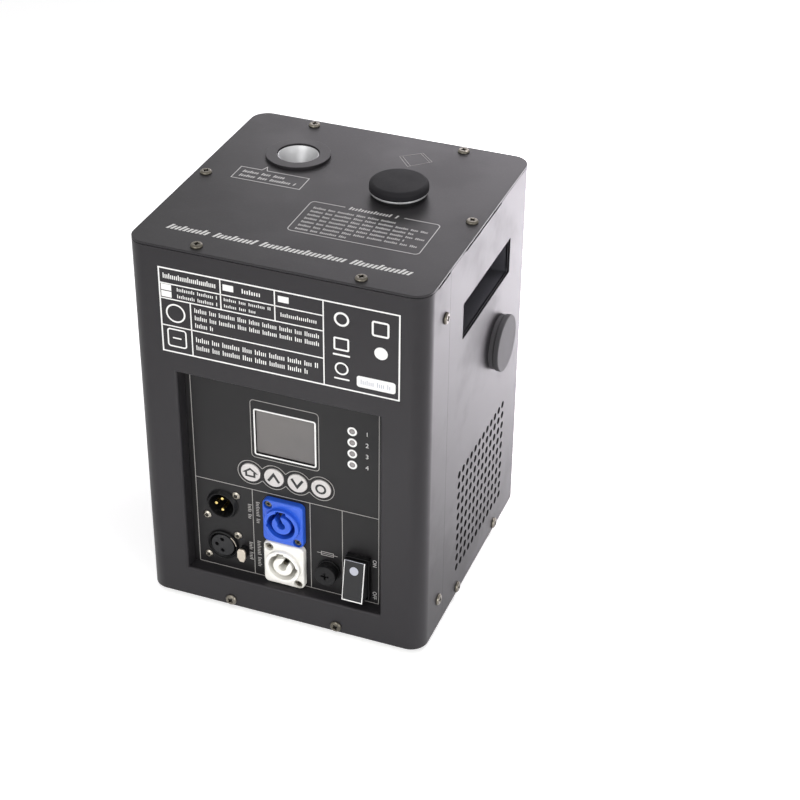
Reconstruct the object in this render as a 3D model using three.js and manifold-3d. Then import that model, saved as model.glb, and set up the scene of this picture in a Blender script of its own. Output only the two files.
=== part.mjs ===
// A cold spark machine: a folded sheet case on four rubber feet, with a recessed control
// panel, a spark outlet and a filler neck on top, and the feeding, heating and blowing
// pieces inside. Millimetres, +Z up, the control panel faces -Y. The origin is the middle
// of the base plate's underside.
import * as THREE from "three";
import { mergeVertices } from "three/addons/utils/BufferGeometryUtils.js";
import Module from "manifold-3d";

const wasm = await Module();
wasm.setup();

// Clearances that all pieces share
const fit = 0.3;
const overrun = 1;

// Facets of round shapes
const roundSteps = 32;
const midSteps = 20;
const smallSteps = 12;
const holeSteps = 8;
const cornerSteps = 5;

// Case
const bodyWidth = 184;
const bodyDepth = 184;
const bodyHeight = 250;
const edgeRadius = 11;
const sheet = 1.2;
const plateThickness = 1.5;
const frontWrap = 36.5;
const flangeDepth = 14;
const slitHeight = 1;
const frontSlitStart = 16;
const frontSlitEnd = 35;
const sideSlitFront = -30;
const sideSlitBack = 33;
const footRadius = 9;
const footHeight = 4;
const footInset = 18;
const footChamfer = 1;

// Screws of the case
const screwInset = 7;
const screwSpread = 50;
const screwHeadRadius = 3.7;
const screwHeadHeight = 2.1;
const screwShaftRadius = 1.7;
const screwShaftLength = 7;
const screwSlotWidth = 0.8;
const screwSlotLength = 3.6;
const screwSlotDepth = 1.2;
const lowScrewHeight = 4;
const lowScrewFrontX = 35.5;
const lowScrewSideFrontY = -28;
const lowScrewSideBackY = 44.5;
const tabWidth = 14;
const tabHeight = 9;
const sideEarWidth = 16;
const sideEarHeight = 3;

// Base plate vents, and the round bead pressed into its middle
const baseSlotCount = 7;
const baseSlotWidth = 4;
const baseSlotLength = 26;
const baseSlotPitch = 8;
const baseSlotInset = 16;
const baseSlotY = 0;
const beadRadius = 14;
const beadWidth = 1.5;
const beadDepth = 0.5;

// Side vents, one square hole for each small round one
const ventColumns = 12;
const ventRows = 10;
const ventPitchY = 7.6;
const ventPitchZ = 7.9;
const ventHole = 4.4;
const ventCentreY = 11.8;
const ventBottom = 21.4;

// Hand grips
const gripLength = 86.5;
const gripCentreY = 11.2;
const gripDrop = 36;
const gripHeight = 24;
const gripDepth = 25;
const gripWall = 1.5;

// Side plug
const plugFromBack = 55.6;
const plugHeightShare = 0.6;
const plugHole = 15;
const plugRimRadius = 18.1;
const plugBaseRadius = 17.5;
const plugGrooveRadius = 17;
const plugHeight = 6.3;
const plugStep = 2.7;
const plugGroove = 0.4;
const plugChamfer = 0.7;
const plugNeckLength = 7;
const plugWall = 2;
const collarRadius = 19;
const collarFlange = 3;
const collarLength = 7;

// Control recess and panel
const recessWidth = 128.5;
const recessBottom = 21;
const recessHeight = 145;
const recessDepth = 9.6;
const panelThickness = 1.5;
const panelMargin = 6;

// Display
const windowX = 0.1;
const windowZ = 129.6;
const windowWidth = 38.2;
const windowHeight = 30.7;
const lensThickness = 1.2;
const moduleMargin = 3;
const moduleDepth = 4;
const boardThickness = 1.6;
const boardLeftMargin = 12.5;
const boardRightMargin = 13.9;
const boardBottomMargin = 1.5;
const boardTopMargin = 3;
const boardPostRadius = 2.5;
const boardPostInset = 4;

// Push buttons
const buttonZ = 98.9;
const buttonPitch = 15.37;
const buttonMiddleX = -0.1;
const buttonRadius = 6.4;
const buttonProud = 0.6;
const buttonFlange = 1;
const buttonFlangeThickness = 0.9;
const buttonStemRadius = 2;
const buttonTravel = 0.5;
const buttonEdge = 0.3;

// Status lights
const lightInset = 21.15;
const lightZ = 121.6;
const lightCount = 4;
const lightPitch = 7.87;
const lightRadius = 1.6;
const lightBarMargin = 3;
const lightBarThickness = 2;
const lightSink = 0.1;

// Data sockets
const dataInInset = 21.25;
const dataInZ = 69.95;
const dataOutInset = 20.45;
const dataOutZ = 38.6;
const dataRimRadius = 10.4;
const dataRimEdge = 0.6;
const dataBodyRadius = 9.2;
const dataBodyLength = 22;
const dataLipRadius = 8.9;
const dataLipHeight = 2.6;
const dataBore = 8.2;
const pinCircle = 4.15;
const pinRadius = 1.1;
const pinProud = 0.9;
const pinDiscBack = 16;
const pinDiscThickness = 3;
const outletLipHeight = 2.2;
const outletGroove = 1.1;
const outletGrooveDepth = 6;
const outletCoreRadius = 7.8;
const outletCoreHeight = 1.4;
const outletHoleRadius = 1.3;
const outletHoleDepth = 9;
const latchOffset = 14.7;
const latchDrop = 0.9;
const latchWidth = 6.2;
const latchLength = 10.4;
const latchCorner = 2;
const latchProud = 6.2;
const latchDepth = 4;

// Power sockets
const powerX = -1.2;
const powerInZ = 68.6;
const powerOutZ = 36.9;
const powerWidth = 26.9;
const powerHeight = 31.1;
const powerCorner = 3.5;
const powerFlange = 4.3;
const powerBossRadius = 11.6;
const powerBossHeight = 2.6;
const powerBore = 9.2;
const powerBoreDepth = 9;
const powerHubRadius = 6.3;
const powerHubSink = 0.6;
const powerHubHole = 2.6;
const powerHubHoleDepth = 9;
const powerBodyRadius = 11.4;
const powerBodyLength = 20;
const powerScrewX = 9.5;
const powerScrewZ = 12;
const powerScrewRadius = 2.9;
const powerScrewDepth = 2.4;

// Fuse
const fuseShare = 0.559;
const fuseZ = 38.8;
const fuseRimRadius = 7.6;
const fuseRimHeight = 1.4;
const fuseRimEdge = 0.5;
const fuseBodyRadius = 6.1;
const fuseBodyLength = 30;
const fuseWall = 0.7;
const fuseFloor = 1.5;
const fuseCapRadius = 7;
const fuseCapHeight = 7.5;
const fuseCapEdge = 0.6;
const fuseStemRadius = 4.9;
const fuseStemDepth = 3;
const fuseSocketDepth = 0.5;
const fuseSlotWidth = 1.3;
const fuseSlotLength = 5.4;
const fuseSlotDepth = 1.6;
const carrierRadius = 3.1;
const carrierBack = 9;
const carrierFloor = 4;
const glassRadius = 2.2;
const glassEndRadius = 2.5;
const glassEndLength = 5;
const glassLength = 20;

// Rocker switch
const switchInset = 16.95;
const switchZ = 40.7;
const bezelHalfWidth = 7.85;
const bezelHalfLength = 15.7;
const bezelHeight = 4.2;
const switchHalfWidth = 7.65;
const switchHalfLength = 15.2;
const switchDepth = 18;
const cavityHalfLength = 14.6;
const cavityDepth = 7;
const rockerHalfWidth = 7;
const rockerHalfLength = 14.4;
const rockerShoulder = 13;
const rockerWaist = 12.2;
const rockerHeel = 8.5;
const rockerFace = 9.9;
const rockerShoulderHeight = 7.6;
const rockerHeelDepth = 4;
const rockerTilt = THREE.MathUtils.degToRad(10.5);

// Spark outlet, nozzle and heating chamber
const sparkFromLeft = 49.5;
const sparkFromBack = 50.1;
const ringRadius = 20.1;
const ringThickness = 1.8;
const ringEdge = 0.5;
const ringBore = 13.1;
const ringSleeveRadius = 15.7;
const ringSleeveLength = 12;
const nozzleSink = 0.9;
const nozzleRim = 0.6;
const nozzleThroat = 5;
const nozzleSlope = THREE.MathUtils.degToRad(60);
const nozzleWall = 3;
const nozzleBarrelLength = 19;
const nozzleDrop = 46;
const nozzleFootRadius = 14;
const nozzleFootThickness = 4;
const chamberRadius = 12;
const chamberBore = 10;
const chamberLift = 12;
const chamberCollar = 2;
const chamberCollarRise = 9.3;
const chamberCollarThickness = 2.7;
const sleeveWall = 3.1;
const coilPitch = 4.2;
const coilWireRadius = 1.6;
const coilSteps = 14;
const coilSides = 3;
const coilClearance = 1;
const coilLift = 3;

// Filler neck, cap and hopper
const fillFromRight = 58.9;
const fillForward = 24.7;
const neckBore = 13;
const neckRadius = 15;
const neckFlangeRadius = 17;
const neckFlangeHeight = 2;
const neckLipRadius = 17.3;
const neckLipHeight = 1.3;
const neckLength = 14;
const capRadius = 17.9;
const capHeight = 5.6;
const capDome = 0.3;
const capRound = 3;
const capWall = 3.5;
const capPlugWall = 1.9;
const capPlugDepth = 6;
const hopperWall = 1.5;
const hopperCollarLength = 11.4;
const hopperRadius = 31;
const hopperShoulderDrop = 18;
const hopperConeDrop = 28;
const hopperConeRise = 18;
const hopperOutletRadius = 9;
const hopperOutletRise = 10.2;

// Feed screw
const feedHeightShare = 0.592;
const feedTubeRadius = 9;
const feedBore = 6.4;
const feedBranchBore = 7;
const feedBack = 13;
const augerRadius = 5.9;
const augerCore = 2.2;
const augerPitch = 15;
const augerStepsPerTurn = 10;
const augerArcSteps = 3;
const augerLobe = THREE.MathUtils.degToRad(70);
const augerShaftRadius = 2;
const augerShaftLength = 12;
const motorFlange = 22;
const motorFlangeThickness = 3;
const motorRadius = 11;
const motorLength = 34;
const motorBoreDepth = 12;

// Blower and duct
const blowerOffset = 16.5;
const blowerRadius = 34;
const blowerWidth = 30;
const blowerWall = 2;
const blowerOutletWidth = 35;
const blowerOutletTop = 86;
const blowerFootHalfWidth = 22;
const blowerFootHeight = 10;
const blowerInlet = 17;
const blowerPostRadius = 10.5;
const blowerPostTop = -0.4;
const blowerPinRadius = 1.5;
const blowerPinTop = 4;
const wheelRadius = 28;
const wheelDiscBack = -11.5;
const wheelDiscThickness = 1.5;
const wheelHubRadius = 12.6;
const wheelHubFront = 1.5;
const wheelBladeCount = 18;
const wheelBladeInner = 19;
const wheelBladeThickness = 0.9;
const wheelBladeFront = 11;
const wheelBladeLean = THREE.MathUtils.degToRad(22);
const wheelRingWidth = 2.5;
const ductFlangeMargin = 2;
const ductFlangeThickness = 2;
const ductConeRadius = 14.5;
const ductWall = 2;
const ductSpigotLength = 3.3;

// Cooling fan
const fanSize = 80;
const fanDepth = 25;
const fanBore = 38.2;
const fanHubRadius = 15;
const fanHubThickness = 2.5;
const fanStrut = 4;
const fanPinRadius = 2;
const fanPinTop = 19;
const rotorHubRadius = 16;
const rotorHubWall = 2;
const rotorBack = 4;
const rotorFront = 20;
const rotorBladeCount = 7;
const rotorTipRadius = 36.8;
const rotorBladeWidth = 21;
const rotorBladeThickness = 1.4;
const rotorBladePitch = THREE.MathUtils.degToRad(38);

// Power supply, driver and its bracket
const supplySideGap = 4;
const supplyFanGap = 5.5;
const supplyFromFront = 47;
const supplyFromBack = 12;
const supplyHeight = 37;
const supplyStrip = 8;
const supplyStripHeight = 12;
const supplyLid = 1.5;
const bracketInset = 7;
const bracketRight = -12;
const bracketFootDepth = 19;
const bracketDepthShare = 0.37;
const bracketTop = 135;
const bossRadius = 3;
const bossLength = 5;
const bossInset = 6;
const driverBottom = 20;
const driverTop = 128;
const driverSideInset = 4;
const choke = 26;
const chokeDepth = 14;
const capacitorRadius = 8;
const capacitorLength = 18;
const sinkBase = 4;
const sinkFinLength = 16;
const sinkFinThickness = 2;
const sinkFinCount = 7;
const sinkInset = 7;
const sinkRightInset = 14;
const sinkBottom = 24;
const sinkTop = 104;

// Places that follow from the sizes above
const sideX = bodyWidth / 2;
const frontY = -bodyDepth / 2;
const shellTop = bodyHeight - plateThickness - fit;
const panelY = frontY + recessDepth;
const innerSideX = sideX - sheet;
const gripTop = bodyHeight - gripDrop;
const gripBottom = gripTop - gripHeight;
const plugY = bodyDepth / 2 - plugFromBack;
const plugZ = bodyHeight * plugHeightShare;
const recessTop = recessBottom + recessHeight;
const recessSide = recessWidth / 2;
const dataInX = dataInInset - recessSide;
const dataOutX = dataOutInset - recessSide;
const switchX = recessSide - switchInset;
const lightX = recessSide - lightInset;
const powerRight = powerX + powerWidth / 2;
const fuseX = powerRight + (switchX - bezelHalfWidth - powerRight) * fuseShare;
const buttonX = (i) => buttonMiddleX + (i - 1.5) * buttonPitch;
const lightsZ = Array.from({ length: lightCount }, (_, i) => lightZ + i * lightPitch);
const boardLeft = buttonX(0) - buttonRadius - boardLeftMargin;
const boardRight = lightX + boardRightMargin;
const boardBottom = buttonZ - buttonRadius - boardBottomMargin;
const boardTop = windowZ + windowHeight / 2 + moduleMargin + boardTopMargin;
const sparkX = sparkFromLeft - sideX;
const sparkY = bodyDepth / 2 - sparkFromBack;
const fillX = sideX - fillFromRight;
const fillY = sparkY - fillForward;
const feedZ = bodyHeight * feedHeightShare;
const nozzleFoot = bodyHeight - nozzleDrop;
const chamberBottom = blowerOutletTop + chamberLift;
const chamberCollarZ = feedZ + chamberCollarRise;
const hopperShoulder = bodyHeight - hopperShoulderDrop;
const hopperConeTop = bodyHeight - hopperConeDrop;
const hopperConeBottom = feedZ + hopperConeRise;
const hopperOutletBottom = feedZ + hopperOutletRise;
const feedReach = Math.hypot(sparkX - fillX, sparkY - fillY);
const feedTurn = Math.atan2(sparkY - fillY, sparkX - fillX);
const ringTop = bodyHeight + ringThickness;
const nozzleTop = ringTop - nozzleSink;
const neckTop = bodyHeight + neckFlangeHeight + neckLipHeight;
const blowerX = sparkX + blowerOffset;
const blowerZ = plateThickness + fit + blowerRadius;
const supplyLeft = blowerX + blowerRadius + supplySideGap;
const supplyRight = innerSideX - fit - fanDepth - supplyFanGap;
const supplyFront = frontY + supplyFromFront;
const supplyBack = bodyDepth / 2 - supplyFromBack;
const bracketLeft = bracketInset - sideX;
const bracketWallY = frontY + bodyDepth * bracketDepthShare;
const sinkLeft = bracketLeft + sinkInset;
const sinkRight = bracketRight - sinkRightInset;

// Materials
function finish(color, roughness, metalness) {
  return new THREE.MeshStandardMaterial({ color, roughness, metalness, flatShading: true });
}
const charcoal = finish(0x4a4a4c, 0.5, 0.3);
const blackPlastic = finish(0x1c1c1e, 0.5, 0);
const rubber = finish(0x242426, 0.8, 0);
const bluePlastic = finish(0x3c5fe0, 0.4, 0);
const whitePlastic = finish(0xf0eee6, 0.4, 0);
const palePlastic = finish(0xd8d5d2, 0.45, 0);
const greyGlass = finish(0x7d7876, 0.2, 0);
const clearGlass = finish(0xdfe6e8, 0.1, 0);
const brightSteel = finish(0xd9d9d6, 0.3, 1);
const steel = finish(0x9a9a98, 0.4, 1);
const bronze = finish(0x8d8468, 0.35, 1);
const gold = finish(0xe2c977, 0.25, 1);
const copper = finish(0xb87348, 0.35, 1);
const aluminium = finish(0xb9bcc0, 0.4, 1);
const ceramic = finish(0xe6dfcf, 0.8, 0);
const circuitGreen = finish(0x1f5b3a, 0.5, 0);

// Solids and cuts

function solidOf(geometry) {
  const bare = geometry.clone();
  bare.deleteAttribute("normal");
  bare.deleteAttribute("uv");
  const merged = mergeVertices(bare);
  return new wasm.Manifold(
    new wasm.Mesh({
      numProp: 3,
      vertProperties: merged.attributes.position.array,
      triVerts: new Uint32Array(merged.index.array),
    }),
  );
}

function geometryOf(body) {
  const mesh = body.getMesh();
  const geometry = new THREE.BufferGeometry();
  geometry.setAttribute("position", new THREE.BufferAttribute(mesh.vertProperties, 3));
  geometry.setIndex(new THREE.BufferAttribute(mesh.triVerts, 1));
  return geometry;
}

function joined(...geometries) {
  const bodies = geometries.map(solidOf);
  return geometryOf(bodies.reduce((sum, body) => sum.add(body)));
}

function cut(geometry, ...tools) {
  const bodies = tools.map(solidOf);
  return geometryOf(bodies.reduce((rest, body) => rest.subtract(body), solidOf(geometry)));
}

// A block between two limits along each axis.
function block([x0, x1], [y0, y1], [z0, z1]) {
  const box = new THREE.BoxGeometry(x1 - x0, y1 - y0, z1 - z0);
  return box.translate((x0 + x1) / 2, (y0 + y1) / 2, (z0 + z1) / 2);
}

// A flat outline carried from one height to another.
function prism(shape, from, to) {
  const options = { depth: to - from, bevelEnabled: false, curveSegments: cornerSteps };
  return new THREE.ExtrudeGeometry(shape, options).translate(0, 0, from);
}

// A round bar about +Z.
function rod(radius, from, to, steps = holeSteps) {
  const bar = new THREE.CylinderGeometry(radius, radius, to - from, steps);
  return bar.rotateX(Math.PI / 2).translate(0, 0, (from + to) / 2);
}

// A profile of [radius, height] points turned about +Z. A profile that stays off the axis
// is closed into a ring.
function turned(profile, steps = midSteps) {
  const points = profile.map(([radius, height]) => new THREE.Vector2(radius, height));
  if (points[0].x > 0) points.push(points[0].clone());
  if (THREE.ShapeUtils.area(points) < 0) points.reverse();
  return new THREE.LatheGeometry(points, steps).rotateX(Math.PI / 2);
}

// Turns what points along +Z to point along +X or +Y.
const alongX = (geometry) => geometry.rotateY(Math.PI / 2);
const alongY = (geometry) => geometry.rotateX(-Math.PI / 2);

function roundedRectangle(width, height, radius) {
  const x = width / 2;
  const y = height / 2;
  const shape = new THREE.Shape();
  shape.moveTo(-x + radius, -y);
  shape.absarc(x - radius, -y + radius, radius, -Math.PI / 2, 0, false);
  shape.absarc(x - radius, y - radius, radius, 0, Math.PI / 2, false);
  shape.absarc(-x + radius, y - radius, radius, Math.PI / 2, Math.PI, false);
  shape.absarc(-x + radius, -y + radius, radius, Math.PI, 1.5 * Math.PI, false);
  return shape;
}

// Scene graph

const machine = new THREE.Group();

function group(x, y, z) {
  const holder = new THREE.Group();
  holder.position.set(x, y, z);
  machine.add(holder);
  return holder;
}

function place(holder, name, geometry, material, x = 0, y = 0, z = 0) {
  const mesh = new THREE.Mesh(geometry, material);
  mesh.name = name;
  mesh.position.set(x, y, z);
  holder.add(mesh);
  return mesh;
}

// Case shells

// A folded sheet seen from above: one wall across, two round corners, two side returns.
function channelShape(wrap) {
  const middle = frontY + edgeRadius;
  const right = sideX - edgeRadius;
  const inner = edgeRadius - sheet;
  const shape = new THREE.Shape();
  shape.moveTo(-sideX, frontY + wrap);
  shape.absarc(-right, middle, edgeRadius, Math.PI, 1.5 * Math.PI, false);
  shape.absarc(right, middle, edgeRadius, 1.5 * Math.PI, 2 * Math.PI, false);
  shape.lineTo(sideX, frontY + wrap);
  shape.lineTo(innerSideX, frontY + wrap);
  shape.absarc(right, middle, inner, 2 * Math.PI, 1.5 * Math.PI, true);
  shape.absarc(-right, middle, inner, 1.5 * Math.PI, Math.PI, true);
  shape.lineTo(-innerSideX, frontY + wrap);
  return shape;
}

// The inward flange under the top plate, with its two screw holes.
function topFlange() {
  const reach = sideX - edgeRadius;
  const front = frontY + sheet / 2;
  return block([-reach, reach], [front, frontY + flangeDepth], [shellTop - sheet, shellTop]);
}

function topScrewHoles() {
  const depth = [-overrun - sheet, bodyHeight];
  return [-screwSpread, screwSpread].map((x) =>
    rod(screwShaftRadius + fit, depth[0] + shellTop, depth[1]).translate(x, frontY + screwInset, 0),
  );
}

function channel(wrap) {
  const shell = joined(prism(channelShape(wrap), 0, shellTop), topFlange());
  return cut(shell, ...topScrewHoles());
}

// A cut through the right wall.
function sideCut(spanY, spanZ) {
  return block([innerSideX - overrun, sideX + overrun], spanY, spanZ);
}

function lowScrewHole(y) {
  const reach = sideX + overrun;
  return alongX(rod(screwShaftRadius + fit, -reach, reach)).translate(0, y, lowScrewHeight);
}

function frontShell() {
  const halfWidth = recessWidth / 2;
  const slit = [shellTop - slitHeight, shellTop + overrun];
  const slitSpan = [frontY + frontSlitStart, frontY + frontSlitEnd];
  const returns = block(
    [-halfWidth - sheet, halfWidth + sheet],
    [frontY + sheet / 2, panelY - fit],
    [recessBottom - sheet, recessTop + sheet],
  );
  const opening = block(
    [-halfWidth, halfWidth],
    [frontY - overrun, panelY + overrun],
    [recessBottom, recessTop],
  );
  const lowScrews = [-lowScrewFrontX, lowScrewFrontX].map((x) =>
    alongY(rod(screwShaftRadius + fit, frontY - overrun, frontY + sheet + overrun)).translate(
      x,
      0,
      lowScrewHeight,
    ),
  );
  const slits = [
    block([sideX - edgeRadius, sideX + overrun], slitSpan, slit),
    block([-sideX - overrun, edgeRadius - sideX], slitSpan, slit),
  ];
  return cut(joined(channel(frontWrap), returns), opening, ...lowScrews, ...slits);
}

function ventTool() {
  const positions = [];
  const half = ventHole / 2;
  const start = ventCentreY - ((ventColumns - 1) * ventPitchY) / 2;
  for (let column = 0; column < ventColumns; column++) {
    for (let row = 0; row < ventRows; row++) {
      const y = start + column * ventPitchY;
      const z = ventBottom + row * ventPitchZ;
      const hole = sideCut([y - half, y + half], [z - half, z + half]).toNonIndexed();
      positions.push(...hole.attributes.position.array);
    }
  }
  const tool = new THREE.BufferGeometry();
  tool.setAttribute("position", new THREE.Float32BufferAttribute(positions, 3));
  return tool;
}

function rearShell() {
  const wrap = bodyDepth - frontWrap - fit;
  const back = channel(wrap).rotateZ(Math.PI);
  const ear = block(
    [sideX - flangeDepth, sideX - sheet / 2],
    [-sideEarWidth / 2, sideEarWidth / 2],
    [shellTop - sideEarHeight, shellTop],
  );
  const ears = [ear, ear.clone().rotateZ(Math.PI)];
  const earHole = rod(screwShaftRadius + fit, shellTop - sideEarHeight - overrun, bodyHeight);
  const earHoles = [-1, 1].map((side) =>
    earHole.clone().translate(side * (sideX - screwInset), 0, 0),
  );
  const slit = block(
    [-sideX - overrun, sideX + overrun],
    [sideSlitFront, sideSlitBack],
    [shellTop - slitHeight, shellTop + overrun],
  );
  const gripSpan = [gripCentreY - gripLength / 2, gripCentreY + gripLength / 2];
  const grips = block([-sideX - overrun, sideX + overrun], gripSpan, [gripBottom, gripTop]);
  const plug = alongX(rod(plugHole, innerSideX - overrun, sideX + overrun, midSteps));
  plug.translate(0, plugY, plugZ);
  const lowHoles = [lowScrewSideFrontY, lowScrewSideBackY].map(lowScrewHole);
  const walls = cut(back, slit, grips, plug, ventTool(), ...lowHoles);
  return cut(joined(walls, ...ears), ...earHoles);
}

function topPlate() {
  const plate = prism(roundedRectangle(bodyWidth, bodyDepth, edgeRadius), 0, plateThickness);
  const depth = [-overrun, plateThickness + overrun];
  const outlet = rod(ringSleeveRadius + fit, ...depth, midSteps).translate(sparkX, sparkY, 0);
  const fill = rod(neckRadius + fit, ...depth, midSteps).translate(fillX, fillY, 0);
  const screws = screwPlaces().map(([x, y]) =>
    rod(screwShaftRadius + fit, ...depth).translate(x, y, 0),
  );
  return cut(plate, outlet, fill, ...screws);
}

function screwPlaces() {
  const y = bodyDepth / 2 - screwInset;
  const x = sideX - screwInset;
  return [
    [-screwSpread, -y],
    [screwSpread, -y],
    [x, 0],
    [screwSpread, y],
    [-screwSpread, y],
    [-x, 0],
  ];
}

function basePlate() {
  const inset = sheet + fit;
  const width = bodyWidth - 2 * inset;
  const depth = bodyDepth - 2 * inset;
  const plate = prism(roundedRectangle(width, depth, edgeRadius - inset), 0, plateThickness);
  const upTo = [plateThickness / 2, tabHeight];
  const half = tabWidth / 2;
  const frontTabs = [-lowScrewFrontX, lowScrewFrontX].map((x) =>
    block([x - half, x + half], [-depth / 2, sheet - depth / 2], upTo),
  );
  const sideTabs = [lowScrewSideFrontY, lowScrewSideBackY].flatMap((y) => [
    block([width / 2 - sheet, width / 2], [y - half, y + half], upTo),
    block([-width / 2, sheet - width / 2], [y - half, y + half], upTo),
  ]);
  const sideHoles = [lowScrewSideFrontY, lowScrewSideBackY].map(lowScrewHole);
  const frontHoles = [-lowScrewFrontX, lowScrewFrontX].map((x) =>
    alongY(rod(screwShaftRadius + fit, frontY, frontY + tabWidth)).translate(x, 0, lowScrewHeight),
  );
  const slots = [];
  for (let i = 0; i < baseSlotCount; i++) {
    const x = baseSlotInset - sideX + i * baseSlotPitch;
    slots.push(
      block(
        [x, x + baseSlotWidth],
        [baseSlotY - baseSlotLength / 2, baseSlotY + baseSlotLength / 2],
        [-overrun, plateThickness + overrun],
      ),
    );
  }
  const bead = turned([
    [beadRadius - beadWidth / 2, -overrun],
    [beadRadius + beadWidth / 2, -overrun],
    [beadRadius + beadWidth / 2, beadDepth],
    [beadRadius - beadWidth / 2, beadDepth],
  ]);
  const tabs = [...frontTabs, ...sideTabs];
  return cut(joined(plate, ...tabs), ...sideHoles, ...frontHoles, ...slots, bead);
}

function foot() {
  return turned(
    [
      [0, -footHeight],
      [footRadius - footChamfer, -footHeight],
      [footRadius, footChamfer - footHeight],
      [footRadius, 0],
      [0, 0],
    ],
    smallSteps,
  );
}

// A pan-head screw whose head rests at height 0, with a cross recess.
function panScrew() {
  const head = turned(
    [
      [0, screwHeadHeight],
      [screwHeadRadius - screwSlotDepth, screwHeadHeight - screwSlotDepth / 4],
      [screwHeadRadius - screwSlotDepth / 4, screwHeadHeight / 2],
      [screwHeadRadius, 0],
      [screwShaftRadius, 0],
      [screwShaftRadius, -screwShaftLength],
      [0, -screwShaftLength],
    ],
    smallSteps,
  );
  const depth = [screwHeadHeight - screwSlotDepth, screwHeadHeight + overrun];
  const narrow = [-screwSlotWidth / 2, screwSlotWidth / 2];
  const long = [-screwSlotLength / 2, screwSlotLength / 2];
  return cut(head, block(narrow, long, depth), block(long, narrow, depth));
}

// A tray behind a grip opening, open towards +X.
function gripPocket() {
  const half = gripLength / 2;
  const wall = gripWall;
  const tray = block(
    [sideX - gripDepth - wall, innerSideX - fit],
    [-half - wall, half + wall],
    [gripBottom - wall, gripTop + wall],
  );
  const hollow = block(
    [sideX - gripDepth, sideX + overrun],
    [-half, half],
    [gripBottom, gripTop],
  );
  return cut(tray, hollow);
}

place(machine, "front_shell", frontShell(), charcoal);
place(machine, "rear_shell", rearShell(), charcoal);
place(machine, "top_plate", topPlate(), charcoal, 0, 0, bodyHeight - plateThickness);
place(machine, "base_plate", basePlate(), steel);
const footNames = ["foot_front_left", "foot_front_right", "foot_rear_left", "foot_rear_right"];
footNames.forEach((name, i) => {
  const x = (i % 2 ? 1 : -1) * (sideX - footInset);
  const y = (i < 2 ? -1 : 1) * (bodyDepth / 2 - footInset);
  place(machine, name, foot(), rubber, x, y, 0);
});
screwPlaces().forEach(([x, y], i) => {
  place(machine, `top_screw_${i + 1}`, panScrew(), bronze, x, y, bodyHeight);
});
place(machine, "grip_pocket_right", gripPocket(), blackPlastic, 0, gripCentreY, 0);
const leftPocket = gripPocket().rotateZ(Math.PI);
place(machine, "grip_pocket_left", leftPocket, blackPlastic, 0, gripCentreY, 0);

// Side plug, on a group whose +Z is the outward normal of the right wall

const rightFace = group(sideX, plugY, plugZ);
rightFace.rotation.y = Math.PI / 2;

function sidePlug() {
  const neck = plugHole - fit - fit / 3;
  return turned([
    [0, plugHeight],
    [plugRimRadius - plugChamfer, plugHeight],
    [plugRimRadius, plugHeight - plugChamfer],
    [plugRimRadius, plugStep + plugGroove],
    [plugGrooveRadius, plugStep + plugGroove],
    [plugGrooveRadius, plugStep],
    [plugBaseRadius, plugStep],
    [plugBaseRadius, fit],
    [neck, fit],
    [neck, -plugNeckLength],
    [neck - plugWall, -plugNeckLength],
    [neck - plugWall, plugStep],
    [0, plugStep],
  ]);
}

function plugCollar() {
  const front = -sheet - fit;
  return turned([
    [plugHole, front],
    [collarRadius, front],
    [collarRadius, front - collarFlange],
    [plugHole + plugWall, front - collarFlange],
    [plugHole + plugWall, front - collarLength],
    [plugHole, front - collarLength],
  ]);
}

place(rightFace, "side_plug", sidePlug(), rubber);
place(rightFace, "plug_collar", plugCollar(), blackPlastic);

// Control panel, on a group whose +Y is up and whose +Z points out of the panel's face

const panelFace = group(0, panelY, 0);
panelFace.rotation.x = Math.PI / 2;
const behindPanel = -panelThickness - fit;

function latchTool(extra) {
  const shape = roundedRectangle(latchWidth + 2 * extra, latchLength + 2 * extra, latchCorner);
  const front = extra > 0 ? overrun : latchProud;
  return prism(shape, -latchDepth, front).translate(latchOffset, -latchDrop, 0);
}

function controlPanel() {
  const x = recessWidth / 2 + panelMargin;
  const depth = [-panelThickness - overrun, overrun];
  const plate = block(
    [-x, x],
    [recessBottom - panelMargin, recessTop + panelMargin],
    [-panelThickness, 0],
  );
  const hole = (radius, px, pz, steps = midSteps) =>
    rod(radius + fit, ...depth, steps).translate(px, pz, 0);
  const window = block(
    [windowX - windowWidth / 2, windowX + windowWidth / 2],
    [windowZ - windowHeight / 2, windowZ + windowHeight / 2],
    depth,
  );
  const rocker = block(
    [switchX - switchHalfWidth - fit / 2, switchX + switchHalfWidth + fit / 2],
    [switchZ - switchHalfLength - fit, switchZ + switchHalfLength + fit],
    depth,
  );
  const buttons = [0, 1, 2, 3].map((i) => hole(buttonRadius, buttonX(i), buttonZ, smallSteps));
  const lights = lightsZ.map((z) => hole(lightRadius, lightX, z, holeSteps));
  return cut(
    plate,
    window,
    rocker,
    ...buttons,
    ...lights,
    hole(dataBodyRadius, dataInX, dataInZ),
    hole(dataBodyRadius, dataOutX, dataOutZ),
    latchTool(fit).translate(dataOutX, dataOutZ, 0),
    hole(powerBodyRadius, powerX, powerInZ),
    hole(powerBodyRadius, powerX, powerOutZ),
    hole(fuseBodyRadius, fuseX, fuseZ),
  );
}

place(panelFace, "control_panel", controlPanel(), charcoal);

// Sockets

function dataInlet() {
  return turned([
    [dataBore, dataLipHeight],
    [dataLipRadius, dataLipHeight],
    [dataRimRadius, dataRimEdge],
    [dataRimRadius, 0],
    [dataBodyRadius, 0],
    [dataBodyRadius, -dataBodyLength],
    [dataBore, -dataBodyLength],
  ]);
}

// Three contacts stand at the left, the top and the bottom of a circle.
function contactPlaces() {
  return [
    [-pinCircle, 0],
    [0, pinCircle],
    [0, -pinCircle],
  ];
}

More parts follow.
